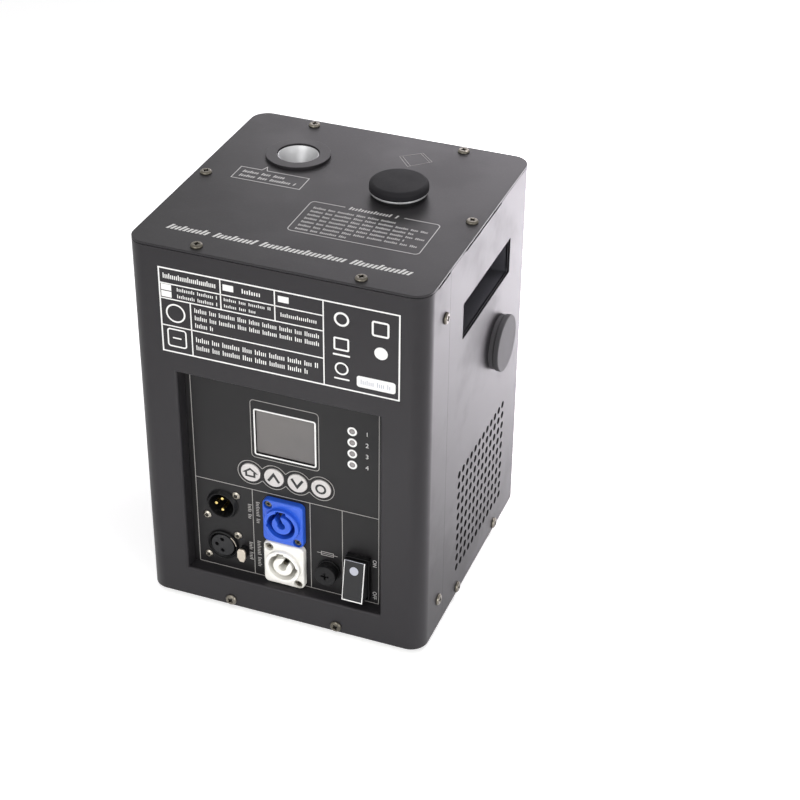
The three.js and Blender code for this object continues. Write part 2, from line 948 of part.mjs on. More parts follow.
function dataPins() {
  const disc = rod(dataBore - fit, -pinDiscBack, pinDiscThickness - pinDiscBack, midSteps);
  const pins = contactPlaces().map(([x, z]) =>
    rod(pinRadius, -pinDiscBack + pinDiscThickness / 2, pinProud).translate(x, z, 0),
  );
  return joined(disc, ...pins);
}

function dataOutlet() {
  const groove = outletCoreRadius + outletGroove;
  const body = turned([
    [0, outletCoreHeight],
    [outletCoreRadius, outletCoreHeight],
    [outletCoreRadius, -outletGrooveDepth],
    [groove, -outletGrooveDepth],
    [groove, outletLipHeight],
    [(groove + dataRimRadius) / 2, outletLipHeight],
    [dataRimRadius, dataRimEdge],
    [dataRimRadius, 0],
    [dataBodyRadius, 0],
    [dataBodyRadius, -dataBodyLength],
    [0, -dataBodyLength],
  ]);
  const holes = contactPlaces().map(([x, z]) =>
    rod(outletHoleRadius, -outletHoleDepth, outletCoreHeight + overrun).translate(x, z, 0),
  );
  return cut(body, ...holes);
}

function powerSocket() {
  const flange = prism(roundedRectangle(powerWidth, powerHeight, powerCorner), 0, powerFlange);
  const boss = rod(powerBossRadius, 0, powerFlange + powerBossHeight, midSteps);
  const body = rod(powerBodyRadius, -powerBodyLength, powerFlange, midSteps);
  const bore = rod(powerBore, -powerBoreDepth, powerFlange + powerBossHeight + overrun, midSteps);
  const hubTop = powerFlange + powerBossHeight - powerHubSink;
  const hub = rod(powerHubRadius, -powerBoreDepth - overrun, hubTop, midSteps);
  const hubHole = rod(powerHubHole, hubTop - powerHubHoleDepth, hubTop + overrun);
  const screws = [-1, 1].map((side) =>
    rod(powerScrewRadius, powerFlange - powerScrewDepth, powerFlange + overrun).translate(
      side * powerScrewX,
      -side * powerScrewZ,
      0,
    ),
  );
  const hollow = cut(joined(flange, boss, body), bore, ...screws);
  return cut(joined(hollow, hub), hubHole);
}

function dataLatch() {
  return latchTool(0);
}

place(panelFace, "data_in_housing", dataInlet(), blackPlastic, dataInX, dataInZ);
place(panelFace, "data_in_pins", dataPins(), gold, dataInX, dataInZ);
place(panelFace, "data_out_housing", dataOutlet(), blackPlastic, dataOutX, dataOutZ);
place(panelFace, "data_out_latch", dataLatch(), steel, dataOutX, dataOutZ);
place(panelFace, "power_in_socket", powerSocket(), bluePlastic, powerX, powerInZ);
place(panelFace, "power_out_socket", powerSocket(), whitePlastic, powerX, powerOutZ);

// Fuse

function fuseHolder() {
  const bore = fuseBodyRadius - fuseWall;
  return turned([
    [0, -fuseBodyLength],
    [fuseBodyRadius, -fuseBodyLength],
    [fuseBodyRadius, 0],
    [fuseRimRadius, 0],
    [fuseRimRadius, fuseRimHeight - fuseRimEdge],
    [fuseRimRadius - fuseRimEdge, fuseRimHeight],
    [bore, fuseRimHeight],
    [bore, fuseFloor - fuseBodyLength],
    [0, fuseFloor - fuseBodyLength],
  ]);
}

function fuseCap() {
  const seat = fuseRimHeight + fit;
  const head = turned([
    [0, fuseCapHeight],
    [fuseCapRadius - fuseCapEdge, fuseCapHeight],
    [fuseCapRadius, fuseCapHeight - fuseCapEdge],
    [fuseCapRadius, seat],
    [fuseStemRadius, seat],
    [fuseStemRadius, -fuseStemDepth],
    [carrierRadius + fit, -fuseStemDepth],
    [carrierRadius + fit, -fuseSocketDepth],
    [0, -fuseSocketDepth],
  ]);
  const depth = [fuseCapHeight - fuseSlotDepth, fuseCapHeight + overrun];
  const narrow = [-fuseSlotWidth / 2, fuseSlotWidth / 2];
  const long = [-fuseSlotLength / 2, fuseSlotLength / 2];
  return cut(head, block(narrow, long, depth), block(long, narrow, depth));
}

function fuseCarrier() {
  const top = -fuseSocketDepth - fit;
  return turned(
    [
      [0, top],
      [carrierRadius, top],
      [carrierRadius, -carrierBack],
      [glassEndRadius + fit, -carrierBack],
      [glassEndRadius + fit, -carrierFloor],
      [0, -carrierFloor],
    ],
    smallSteps,
  );
}

function glassFuse() {
  const front = -carrierFloor - fit;
  const back = front - glassLength;
  return turned(
    [
      [0, front],
      [glassEndRadius, front],
      [glassEndRadius, front - glassEndLength],
      [glassRadius, front - glassEndLength],
      [glassRadius, back + glassEndLength],
      [glassEndRadius, back + glassEndLength],
      [glassEndRadius, back],
      [0, back],
    ],
    smallSteps,
  );
}

place(panelFace, "fuse_holder", fuseHolder(), blackPlastic, fuseX, fuseZ);
place(panelFace, "fuse_cap", fuseCap(), blackPlastic, fuseX, fuseZ);
place(panelFace, "fuse_carrier", fuseCarrier(), brightSteel, fuseX, fuseZ);
place(panelFace, "glass_fuse", glassFuse(), clearGlass, fuseX, fuseZ);

// Rocker switch

function switchHousing() {
  const bezel = block(
    [-bezelHalfWidth, bezelHalfWidth],
    [-bezelHalfLength, bezelHalfLength],
    [0, bezelHeight],
  );
  const body = block(
    [-switchHalfWidth, switchHalfWidth],
    [-switchHalfLength, switchHalfLength],
    [-switchDepth, overrun],
  );
  const cavity = block(
    [-rockerHalfWidth - fit, rockerHalfWidth + fit],
    [-cavityHalfLength, cavityHalfLength],
    [-cavityDepth, bezelHeight + overrun],
  );
  return cut(joined(bezel, body), cavity);
}

function switchRocker() {
  const side = new THREE.Shape([
    new THREE.Vector2(-rockerHalfLength, rockerFace),
    new THREE.Vector2(-rockerShoulder, rockerShoulderHeight),
    new THREE.Vector2(-rockerWaist, 0),
    new THREE.Vector2(-rockerHeel, -rockerHeelDepth),
    new THREE.Vector2(rockerHeel, -rockerHeelDepth),
    new THREE.Vector2(rockerWaist, 0),
    new THREE.Vector2(rockerShoulder, rockerShoulderHeight),
    new THREE.Vector2(rockerHalfLength, rockerFace),
  ]);
  const body = prism(side, -rockerHalfWidth, rockerHalfWidth);
  return body.rotateX(Math.PI / 2).rotateZ(Math.PI / 2).rotateX(-rockerTilt);
}

place(panelFace, "switch_housing", switchHousing(), blackPlastic, switchX, switchZ);
place(panelFace, "switch_rocker", switchRocker(), blackPlastic, switchX, switchZ);

// Display, buttons and status lights

const moduleFront = behindPanel;
const moduleBack = moduleFront - moduleDepth;
const boardFront = moduleBack - fit;

function displayLens() {
  const x = windowWidth / 2 - fit;
  const y = windowHeight / 2 - fit;
  return block([-x, x], [-y, y], [-fit - lensThickness, -fit]);
}

function displayModule() {
  const x = windowWidth / 2 + moduleMargin;
  const y = windowHeight / 2 + moduleMargin;
  const body = block([-x, x], [-y, y], [moduleBack, moduleFront]);
  const shallow = [moduleFront - fit, moduleFront + overrun];
  const screen = block(
    [-windowWidth / 2, windowWidth / 2],
    [-windowHeight / 2, windowHeight / 2],
    shallow,
  );
  return cut(body, screen);
}

function displayBoard() {
  const board = block(
    [boardLeft, boardRight],
    [boardBottom, boardTop],
    [boardFront - boardThickness, boardFront],
  );
  const inset = boardPostInset;
  const posts = [boardLeft + inset, boardRight - inset].flatMap((x) =>
    [boardBottom + inset, boardTop - inset].map((z) =>
      rod(boardPostRadius, boardFront - boardThickness / 2, behindPanel).translate(x, z, 0),
    ),
  );
  const switches = [0, 1, 2, 3].map((i) =>
    rod(buttonStemRadius + fit, boardFront - boardThickness / 2, boardFront + fit).translate(
      buttonX(i),
      buttonZ,
      0,
    ),
  );
  return joined(board, ...posts, ...switches);
}

function pushButton() {
  const flangeFront = behindPanel;
  const flangeBack = flangeFront - buttonFlangeThickness;
  const stemEnd = boardFront + 2 * fit + buttonTravel;
  return turned([
    [0, buttonProud],
    [buttonRadius - buttonEdge, buttonProud],
    [buttonRadius, buttonProud - buttonEdge],
    [buttonRadius, flangeFront],
    [buttonRadius + buttonFlange, flangeFront],
    [buttonRadius + buttonFlange, flangeBack],
    [buttonStemRadius, flangeBack],
    [buttonStemRadius, stemEnd],
    [0, stemEnd],
  ], smallSteps);
}

function statusLights() {
  const back = behindPanel - lightBarThickness;
  const first = lightsZ[0] - lightBarMargin;
  const last = lightsZ[lightCount - 1] + lightBarMargin;
  const bar = block([-lightRadius, lightRadius], [first, last], [back, behindPanel]);
  const feet = [first, last - lightBarMargin].map((z) =>
    block([-lightRadius, lightRadius], [z, z + lightBarMargin], [boardFront + fit, behindPanel]),
  );
  const lenses = lightsZ.map((z) => rod(lightRadius, back / 2, -lightSink).translate(0, z, 0));
  return joined(bar, ...feet, ...lenses);
}

place(panelFace, "display_lens", displayLens(), greyGlass, windowX, windowZ);
place(panelFace, "display_module", displayModule(), blackPlastic, windowX, windowZ);
place(panelFace, "display_board", displayBoard(), circuitGreen);
["button_home", "button_up", "button_down", "button_enter"].forEach((name, i) => {
  place(panelFace, name, pushButton(), palePlastic, buttonX(i), buttonZ);
});
place(panelFace, "status_lights", statusLights(), clearGlass, lightX);

// Spark outlet, nozzle, chamber and coil, on a group along the outlet's axis

const sparkAxis = group(sparkX, sparkY, 0);

function outletRing() {
  return turned(
    [
      [ringBore, ringTop],
      [ringRadius - ringEdge, ringTop],
      [ringRadius, ringTop - ringEdge],
      [ringRadius, bodyHeight],
      [ringSleeveRadius, bodyHeight],
      [ringSleeveRadius, bodyHeight - ringSleeveLength],
      [ringBore, bodyHeight - ringSleeveLength],
    ],
    roundSteps,
  );
}

// The mouth narrows in a steep cone to the throat, then a straight bore leads down.
function nozzleTube() {
  const outer = ringBore - fit;
  const mouth = outer - nozzleRim;
  const coneDepth = (mouth - nozzleThroat) * Math.tan(nozzleSlope);
  const shoulder = nozzleTop - coneDepth;
  const barrel = nozzleThroat + nozzleWall;
  return turned([
    [mouth, nozzleTop],
    [outer, nozzleTop],
    [outer, shoulder],
    [barrel, shoulder - nozzleWall],
    [barrel, nozzleFoot + nozzleFootThickness],
    [nozzleFootRadius, nozzleFoot + nozzleFootThickness],
    [nozzleFootRadius, nozzleFoot],
    [nozzleThroat, nozzleFoot],
    [nozzleThroat, shoulder],
  ]);
}

function chamberTube() {
  const collar = chamberRadius + chamberCollar;
  const top = nozzleFoot - fit;
  const tube = turned([
    [chamberBore, chamberBottom],
    [chamberRadius, chamberBottom],
    [chamberRadius, chamberCollarZ],
    [collar, chamberCollarZ],
    [collar, chamberCollarZ + chamberCollarThickness],
    [chamberRadius, chamberCollarZ + chamberCollarThickness],
    [chamberRadius, top - chamberCollarThickness],
    [collar, top - chamberCollarThickness],
    [collar, top],
    [chamberBore, top],
  ]);
  const inlet = alongX(rod(feedBore, 0, collar, smallSteps)).rotateZ(feedTurn + Math.PI);
  return cut(tube, inlet.translate(0, 0, feedZ));
}

const sleeveRadius = chamberRadius + fit + sleeveWall;
const sleeveBottom = chamberCollarZ + chamberCollarThickness + fit;
const sleeveTop = nozzleFoot - fit - chamberCollarThickness - fit;

function chamberSleeve() {
  const bore = chamberRadius + fit;
  return turned([
    [bore, sleeveBottom],
    [sleeveRadius, sleeveBottom],
    [sleeveRadius, sleeveTop],
    [bore, sleeveTop],
  ]);
}

const coilRadius = sleeveRadius + coilClearance + coilWireRadius;
const coilLoops = Math.floor((sleeveTop - sleeveBottom - 2 * coilLift) / coilPitch);

class CoilPath extends THREE.Curve {
  getPoint(share) {
    const turn = 2 * Math.PI * coilLoops * share;
    const height = sleeveBottom + coilLift + coilPitch * coilLoops * share;
    return new THREE.Vector3(coilRadius * Math.cos(turn), coilRadius * Math.sin(turn), height);
  }
}

// Least distance between the surfaces of neighbouring loops, measured on points of the path.
function coilSelfGap(path) {
  const count = coilLoops * midSteps;
  const points = path.getPoints(count);
  let least = Infinity;
  for (let i = 0; i < count; i++) {
    for (let j = i + midSteps / 2; j <= count; j++) {
      least = Math.min(least, points[i].distanceTo(points[j]));
    }
  }
  return least - 2 * coilWireRadius;
}

function heatingCoil() {
  const section = new THREE.Shape();
  section.absarc(0, 0, coilWireRadius, 0, 2 * Math.PI, false);
  const path = new CoilPath();
  console.log("heating_coil least self gap", coilSelfGap(path).toFixed(2), "mm");
  return new THREE.ExtrudeGeometry(section, {
    extrudePath: path,
    steps: coilLoops * coilSteps,
    curveSegments: coilSides,
  });
}

function airDuct() {
  const bottom = blowerOutletTop + fit;
  const flangeTop = bottom + ductFlangeThickness;
  const shoulder = chamberBottom - fit;
  const spigot = chamberBore - fit;
  const width = blowerOutletWidth / 2 + ductFlangeMargin;
  const depth = blowerWidth / 2 + ductFlangeMargin;
  const flange = block([-width, width], [-depth, depth], [bottom, flangeTop]);
  const cone = turned([
    [0, bottom],
    [ductConeRadius, bottom],
    [ductConeRadius, flangeTop],
    [chamberRadius, shoulder],
    [spigot, shoulder],
    [spigot, chamberBottom + ductSpigotLength],
    [0, chamberBottom + ductSpigotLength],
  ]);
  const hollow = turned([
    [0, bottom - overrun],
    [ductConeRadius - ductWall, bottom - overrun],
    [ductConeRadius - ductWall, flangeTop],
    [spigot - ductWall, shoulder],
    [spigot - ductWall, chamberBottom + ductSpigotLength + overrun],
    [0, chamberBottom + ductSpigotLength + overrun],
  ]);
  return cut(joined(flange, cone), hollow);
}

place(sparkAxis, "outlet_ring", outletRing(), blackPlastic);
place(sparkAxis, "nozzle_tube", nozzleTube(), brightSteel);
place(sparkAxis, "chamber_tube", chamberTube(), steel);
place(sparkAxis, "chamber_sleeve", chamberSleeve(), ceramic);
place(sparkAxis, "heating_coil", heatingCoil(), copper);
place(sparkAxis, "air_duct", airDuct(), aluminium);

// Filler neck, cap and hopper, on a group along the filler's axis

const fillAxis = group(fillX, fillY, 0);

function fillerNeck() {
  const flangeTop = bodyHeight + neckFlangeHeight;
  return turned([
    [neckBore, neckTop],
    [neckLipRadius, neckTop],
    [neckLipRadius, flangeTop],
    [neckFlangeRadius, flangeTop],
    [neckFlangeRadius, bodyHeight],
    [neckRadius, bodyHeight],
    [neckRadius, bodyHeight - neckLength],
    [neckBore, bodyHeight - neckLength],
  ]);
}

function fillerCap() {
  const bottom = neckTop + fit;
  const top = bottom + capHeight;
  const plug = neckBore - fit - fit / 3;
  return turned([
    [0, top],
    [capRadius - capRound, top - capDome],
    [capRadius - capRound / 3, top - capRound / 2],
    [capRadius, top - capRound],
    [capRadius, bottom],
    [plug, bottom],
    [plug, neckTop - capPlugDepth],
    [plug - capPlugWall, neckTop - capPlugDepth],
    [plug - capPlugWall, top - capWall],
    [0, top - capWall],
  ]);
}

function hopper() {
  const collarBore = neckRadius + fit;
  const collar = collarBore + hopperWall;
  const collarBottom = shellTop - hopperCollarLength;
  const outlet = hopperOutletRadius - hopperWall;
  return turned([
    [collarBore, shellTop],
    [collar, shellTop],
    [collar, collarBottom],
    [hopperRadius, hopperShoulder],
    [hopperRadius, hopperConeTop],
    [hopperOutletRadius, hopperConeBottom],
    [hopperOutletRadius, hopperOutletBottom],
    [outlet, hopperOutletBottom],
    [outlet, hopperConeBottom],
    [hopperRadius - hopperWall, hopperConeTop],
    [hopperRadius - hopperWall, hopperShoulder - hopperWall],
    [collarBore, collarBottom - hopperWall],
  ]);
}

place(fillAxis, "filler_neck", fillerNeck(), steel);
place(fillAxis, "filler_cap", fillerCap(), rubber);
place(fillAxis, "hopper", hopper(), brightSteel);

// Feed screw, on a group whose +X runs from under the hopper to the chamber

const feedAxis = group(fillX, fillY, feedZ);
feedAxis.rotation.z = feedTurn;
const feedEnd = feedReach - chamberRadius - fit;

function feedTube() {
  const tube = alongX(rod(feedTubeRadius, -feedBack, feedEnd, midSteps));
  const branchTop = hopperOutletBottom - fit - feedZ;
  const branch = rod(feedTubeRadius, 0, branchTop, midSteps);
  const bore = alongX(rod(feedBore, -feedBack - overrun, feedEnd + overrun, midSteps));
  return cut(joined(tube, branch), bore, rod(feedBranchBore, 0, branchTop + overrun, midSteps));
}

// A shaft and one lobe in section, twisted along its length into a screw.
function feedAuger() {
  const section = new THREE.Shape();
  section.absarc(0, 0, augerCore, augerLobe / 2, 2 * Math.PI - augerLobe / 2, false);
  section.absarc(0, 0, augerRadius, -augerLobe / 2, augerLobe / 2, false);
  const length = feedEnd + feedBack - 2 * overrun;
  const steps = Math.round((length / augerPitch) * augerStepsPerTurn);
  const options = { depth: length, steps, bevelEnabled: false, curveSegments: augerArcSteps };
  const screw = new THREE.ExtrudeGeometry(section, options);
  const position = screw.attributes.position;
  const point = new THREE.Vector3();
  const axis = new THREE.Vector3(0, 0, 1);
  for (let i = 0; i < position.count; i++) {
    point.fromBufferAttribute(position, i);
    point.applyAxisAngle(axis, (2 * Math.PI * point.z) / augerPitch);
    position.setXYZ(i, point.x, point.y, point.z);
  }
  alongX(screw).translate(overrun - feedBack, 0, 0);
  const shaftStart = -feedBack - augerShaftLength;
  const shaft = alongX(rod(augerShaftRadius, shaftStart, 2 * overrun - feedBack, smallSteps));
  return joined(screw, shaft);
}

function feedMotor() {
  const front = -feedBack - fit;
  const back = front - motorFlangeThickness;
  const half = motorFlange / 2;
  const flange = block([back, front], [-half, half], [-half, half]);
  const can = alongX(rod(motorRadius, back - motorLength, front, midSteps));
  const bore = alongX(
    rod(augerShaftRadius + fit, front - motorBoreDepth, front + overrun, smallSteps),
  );
  return cut(joined(flange, can), bore);
}

place(feedAxis, "feed_tube", feedTube(), brightSteel);
place(feedAxis, "feed_auger", feedAuger(), steel);
place(feedAxis, "feed_motor", feedMotor(), steel);

// Blower, on a group whose +Z is the blower's axis and points to the front

const blowerAxis = group(blowerX, sparkY, blowerZ);
blowerAxis.rotation.x = Math.PI / 2;

// A round case with an outlet that leaves it upwards along its left side.
function scrollBlock(inset, from, to) {
  const radius = blowerRadius - inset;
  const left = -blowerRadius + inset;
  const right = blowerOutletWidth - blowerRadius - inset;
  const top = blowerOutletTop - blowerZ + (inset > 0 ? overrun : 0);
  return joined(
    rod(radius, from, to, roundSteps),
    block([left, right], [0, top], [from, to]),
  );
}

function blowerHousing() {
  const half = blowerWidth / 2;
  const foot = block(
    [-blowerFootHalfWidth, blowerFootHalfWidth],
    [-blowerRadius, blowerFootHeight - blowerRadius],
    [-half, half],
  );
  const outside = joined(scrollBlock(0, -half, half), foot);
  const inside = scrollBlock(blowerWall, blowerWall - half, half + overrun);
  const post = rod(blowerPostRadius, -half, blowerPostTop, midSteps);
  const pin = rod(blowerPinRadius, blowerPostTop - overrun, blowerPinTop);
  return joined(cut(outside, inside), post, pin);
}

function blowerCover() {
  const front = blowerWidth / 2 + fit;
  const inlet = rod(blowerInlet, front - overrun, front + blowerWall + overrun, midSteps);
  const right = blowerOutletWidth - blowerRadius;
  const plate = joined(
    rod(blowerRadius, front, front + blowerWall, roundSteps),
    block([-blowerRadius, right], [0, blowerOutletTop - blowerZ], [front, front + blowerWall]),
  );
  return cut(plate, inlet);
}

function blowerWheel() {
  const discFront = wheelDiscBack + wheelDiscThickness;
  const bore = blowerPinRadius + fit;
  const hub = turned([
    [bore, wheelHubFront],
    [wheelHubRadius, wheelHubFront],
    [wheelHubRadius, discFront],
    [wheelRadius, discFront],
    [wheelRadius, wheelDiscBack],
    [blowerPostRadius + 2 * fit, wheelDiscBack],
    [blowerPostRadius + 2 * fit, 0],
    [bore, 0],
  ]);
  const ring = turned([
    [wheelRadius - wheelRingWidth, wheelBladeFront],
    [wheelRadius, wheelBladeFront],
    [wheelRadius, wheelBladeFront + wheelDiscThickness],
    [wheelRadius - wheelRingWidth, wheelBladeFront + wheelDiscThickness],
  ]);
  const middle = (wheelBladeInner + wheelRadius) / 2;
  const half = (wheelRadius - wheelBladeInner) / 2 - fit;
  const blades = Array.from({ length: wheelBladeCount }, (_, i) => {
    const blade = block(
      [-half, half],
      [-wheelBladeThickness / 2, wheelBladeThickness / 2],
      [wheelDiscBack + wheelDiscThickness / 2, wheelBladeFront + wheelDiscThickness / 2],
    );
    blade.rotateZ(wheelBladeLean).translate(middle, 0, 0);
    return blade.rotateZ((2 * Math.PI * i) / wheelBladeCount);
  });
  return joined(hub, ring, ...blades);
}

place(blowerAxis, "blower_housing", blowerHousing(), blackPlastic);
place(blowerAxis, "blower_cover", blowerCover(), blackPlastic);
place(blowerAxis, "blower_wheel", blowerWheel(), blackPlastic);

// Cooling fan, on a group whose +Z is the fan's axis and points out through the right wall

const fanZ = ventBottom + ((ventRows - 1) * ventPitchZ) / 2;
const fanAxis = group(innerSideX - fit - fanDepth, ventCentreY, fanZ);
fanAxis.rotation.y = Math.PI / 2;

function fanFrame() {
  const half = fanSize / 2;
  const strut = fanStrut / 2;
  const body = block([-half, half], [-half, half], [0, fanDepth]);
  const bore = rod(fanBore, -overrun, fanDepth + overrun, roundSteps);
  const reach = fanBore + overrun;
  return joined(
    cut(body, bore),
    rod(fanHubRadius, 0, fanHubThickness, midSteps),
    block([-reach, reach], [-strut, strut], [0, fanHubThickness]),
    block([-strut, strut], [-reach, reach], [0, fanHubThickness]),
    rod(fanPinRadius, fanHubThickness / 2, fanPinTop, smallSteps),
  );
}

function fanRotor() {
  const bore = fanPinRadius + fit;
  const hub = turned([
    [bore, rotorFront],
    [rotorHubRadius, rotorFront],
    [rotorHubRadius, rotorBack],
    [rotorHubRadius - rotorHubWall, rotorBack],
    [rotorHubRadius - rotorHubWall, rotorFront - rotorHubWall],
    [bore, rotorFront - rotorHubWall],
  ]);
  const inner = rotorHubRadius - rotorHubWall / 2;
  const blades = Array.from({ length: rotorBladeCount }, (_, i) => {
    const blade = block(
      [inner, rotorTipRadius],
      [-rotorBladeWidth / 2, rotorBladeWidth / 2],
      [-rotorBladeThickness / 2, rotorBladeThickness / 2],
    );
    blade.rotateX(rotorBladePitch).translate(0, 0, (rotorBack + rotorFront) / 2);
    return blade.rotateZ((2 * Math.PI * i) / rotorBladeCount);
  });
  const sweep = rod(rotorTipRadius, rotorBack, rotorFront, roundSteps);
  const trimmed = solidOf(joined(...blades)).intersect(solidOf(sweep));
  return joined(hub, geometryOf(trimmed));
}

place(fanAxis, "fan_frame", fanFrame(), blackPlastic);
place(fanAxis, "fan_rotor", fanRotor(), blackPlastic);

// Power supply, driver board, bracket and heat sink

function powerSupply() {
  const bottom = plateThickness;
  const top = bottom + supplyHeight;
  const strip = supplyStrip;
  return joined(
    block([supplyLeft, supplyRight], [supplyFront, supplyBack], [bottom, top - supplyLid]),
    block(
      [supplyLeft + supplyLid, supplyRight - supplyLid],
      [supplyFront + supplyLid, supplyBack - supplyLid],
      [top - 2 * supplyLid, top],
    ),
    block(
      [supplyLeft + strip / 2, supplyRight - strip / 2],
      [supplyFront - strip, supplyFront + overrun],
      [bottom, bottom + supplyStripHeight],
    ),
  );
}

// Places of the four bosses that hold the driver board.
function bossPlaces() {
  const inset = driverSideInset + bossInset;
  return [bracketLeft + inset, bracketRight - inset].flatMap((x) =>
    [driverBottom + bossInset, driverTop - bossInset].map((z) => [x, z]),
  );
}

function driverBracket() {
  const front = bracketWallY - sheet;
  const footTop = plateThickness + sheet;
  const wall = block([bracketLeft, bracketRight], [front, bracketWallY], [plateThickness, bracketTop]);
  const footPlate = block(
    [bracketLeft, bracketRight],
    [bracketWallY - bracketFootDepth, bracketWallY],
    [plateThickness, footTop],
  );
  const bosses = bossPlaces().map(([x, z]) =>
    alongY(rod(bossRadius, front - bossLength, bracketWallY - sheet / 2)).translate(x, 0, z),
  );
  return joined(wall, footPlate, ...bosses);
}

function driverBoard() {
  const back = bracketWallY - sheet - bossLength - fit;
  const front = back - boardThickness;
  const left = bracketLeft + driverSideInset;
  const right = bracketRight - driverSideInset;
  const board = block([left, right], [front, back], [driverBottom, driverTop]);
  const middle = (left + right) / 2;
  const half = choke / 2;
  const transformer = block(
    [middle - half, middle + half],
    [front - chokeDepth, back - boardThickness / 2],
    [driverBottom + choke, driverBottom + 2 * choke],
  );
  const cans = [-1, 0, 1].map((i) =>
    alongY(rod(capacitorRadius, front - capacitorLength, front + boardThickness / 2, smallSteps))
      .translate(middle + i * (2 * capacitorRadius + overrun), 0, driverTop - choke),
  );
  return joined(board, transformer, ...cans);
}

function heatSink() {
  const front = bracketWallY + fit;
  const base = block([sinkLeft, sinkRight], [front, front + sinkBase], [sinkBottom, sinkTop]);
  const pitch = (sinkRight - sinkLeft - sinkFinThickness) / (sinkFinCount - 1);
  const fins = Array.from({ length: sinkFinCount }, (_, i) => {
    const x = sinkLeft + i * pitch;
    return block(
      [x, x + sinkFinThickness],
      [front + sinkBase / 2, front + sinkBase + sinkFinLength],
      [sinkBottom, sinkTop],
    );
  });
  return joined(base, ...fins);
}

place(machine, "power_supply", powerSupply(), aluminium);
place(machine, "driver_bracket", driverBracket(), steel);
place(machine, "driver_board", driverBoard(), circuitGreen);
place(machine, "heat_sink", heatSink(), aluminium);

export default machine;
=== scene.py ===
import math

import bmesh
import bpy
from mathutils import Matrix, Vector


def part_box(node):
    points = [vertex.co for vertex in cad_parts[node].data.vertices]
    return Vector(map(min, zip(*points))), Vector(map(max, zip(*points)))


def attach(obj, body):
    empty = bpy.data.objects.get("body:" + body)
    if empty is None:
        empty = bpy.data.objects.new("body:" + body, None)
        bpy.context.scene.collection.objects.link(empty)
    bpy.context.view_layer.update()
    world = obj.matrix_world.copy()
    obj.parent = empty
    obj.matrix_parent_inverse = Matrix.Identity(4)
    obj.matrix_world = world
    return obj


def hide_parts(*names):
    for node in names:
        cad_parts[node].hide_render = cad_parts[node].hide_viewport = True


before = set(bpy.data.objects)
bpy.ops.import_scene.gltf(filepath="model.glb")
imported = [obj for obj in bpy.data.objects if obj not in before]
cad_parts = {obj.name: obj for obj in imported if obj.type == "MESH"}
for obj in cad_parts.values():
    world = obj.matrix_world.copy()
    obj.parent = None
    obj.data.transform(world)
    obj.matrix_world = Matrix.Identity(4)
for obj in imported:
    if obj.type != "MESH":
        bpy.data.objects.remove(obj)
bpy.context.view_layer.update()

# Sizes are in millimetres. A finished mesh is brought to metres as its last step.
MM = 0.001


def corners(node):
    low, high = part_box(node)
    return low / MM, high / MM


def centre(node):
    low, high = corners(node)
    return (low + high) / 2


def half_span(node):
    low, high = corners(node)
    return (high - low) / 2


# Case, read from the frame
SIDE = corners("rear_shell")[1].x
BACK = corners("rear_shell")[1].y
FRONT = corners("front_shell")[0].y
TOP = corners("top_plate")[1].z
SHELL_LOW = corners("front_shell")[0].z
SHELL_TOP = corners("front_shell")[1].z
PLATE_LOW = corners("top_plate")[0].z
PANEL = corners("control_panel")[0].y
FLOOR = corners("foot_front_left")[0].z
EDGE_RADIUS = 11
SHEET = 1.2
SEAM = FRONT + 36.5
SEAM_GAP = 0.3
FLANGE = 13.5
FOLD = 2
RECESS_SIDE = 64.25
RECESS_LOW = 21
RECESS_TOP = 166
SLIT = 1
FRONT_SLIT = (16, 35)
SIDE_SLIT = (-30, 33)

# Side openings
GRIP_Y = 11.2
GRIP_LENGTH = 86.5
GRIP_HEIGHT = 24
GRIP_Z = 202
GRIP_DEPTH = 25
VENT_COLUMNS = 12
VENT_ROWS = 10
VENT_PITCH_Y = 7.6
VENT_PITCH_Z = 7.9
VENT_Y = 11.8
VENT_LOW = 21.4
VENT_RADIUS = 2.5
PLUG_HOLE = 15
OUTLET_HOLE = 16.3
FILLER_HOLE = 15.3

# Small parts, each centred on its CAD node
SPARK = centre("outlet_ring")
FILL = centre("filler_cap")
PLUG = centre("side_plug")
DATA_IN = centre("data_in_housing")
DATA_OUT = centre("data_out_housing")
POWER_IN = centre("power_in_socket")
POWER_OUT = centre("power_out_socket")
FUSE = centre("fuse_holder")
SWITCH = centre("switch_housing")
LATCH = centre("data_out_latch")
SCREEN = centre("display_lens")
BUTTONS = {key: centre("button_" + key) for key in ("home", "up", "down", "enter")}
LIGHTS_X = centre("status_lights").x
LIGHTS_Z = [121.6 + 7.87 * i for i in range(4)]
ROCKER_TILT = math.radians(10.5)
INK = 0.03
# A face that lies on another stands this far clear of it.
CLEAR = 0.02


# Faces of the case. Each has its own across, up and outward directions.

def face(across, up, origin):
    across, up = Vector(across), Vector(up)
    turn = Matrix((across, up, across.cross(up))).transposed().to_4x4()
    turn.translation = origin
    return turn


ON_TOP = face((1, 0, 0), (0, 1, 0), (0, 0, TOP))
ON_FRONT = face((1, 0, 0), (0, 0, 1), (0, FRONT, 0))
ON_PANEL = face((1, 0, 0), (0, 0, 1), (0, PANEL, 0))
ON_RIGHT = face((0, 1, 0), (0, 0, 1), (SIDE, 0, 0))
ON_LEFT = face((0, -1, 0), (0, 0, 1), (-SIDE, 0, 0))
ON_BASE = face((1, 0, 0), (0, -1, 0), (0, 0, 0))


def at(plane, across, up, out=0, turn=0):
    return plane @ Matrix.Translation((across, up, out)) @ Matrix.Rotation(turn, 4, "Z")


def on_top(spot):
    return at(ON_TOP, spot.x, spot.y)


def on_panel(spot, out=0):
    return at(ON_PANEL, spot.x, spot.z, out)


# Outlines

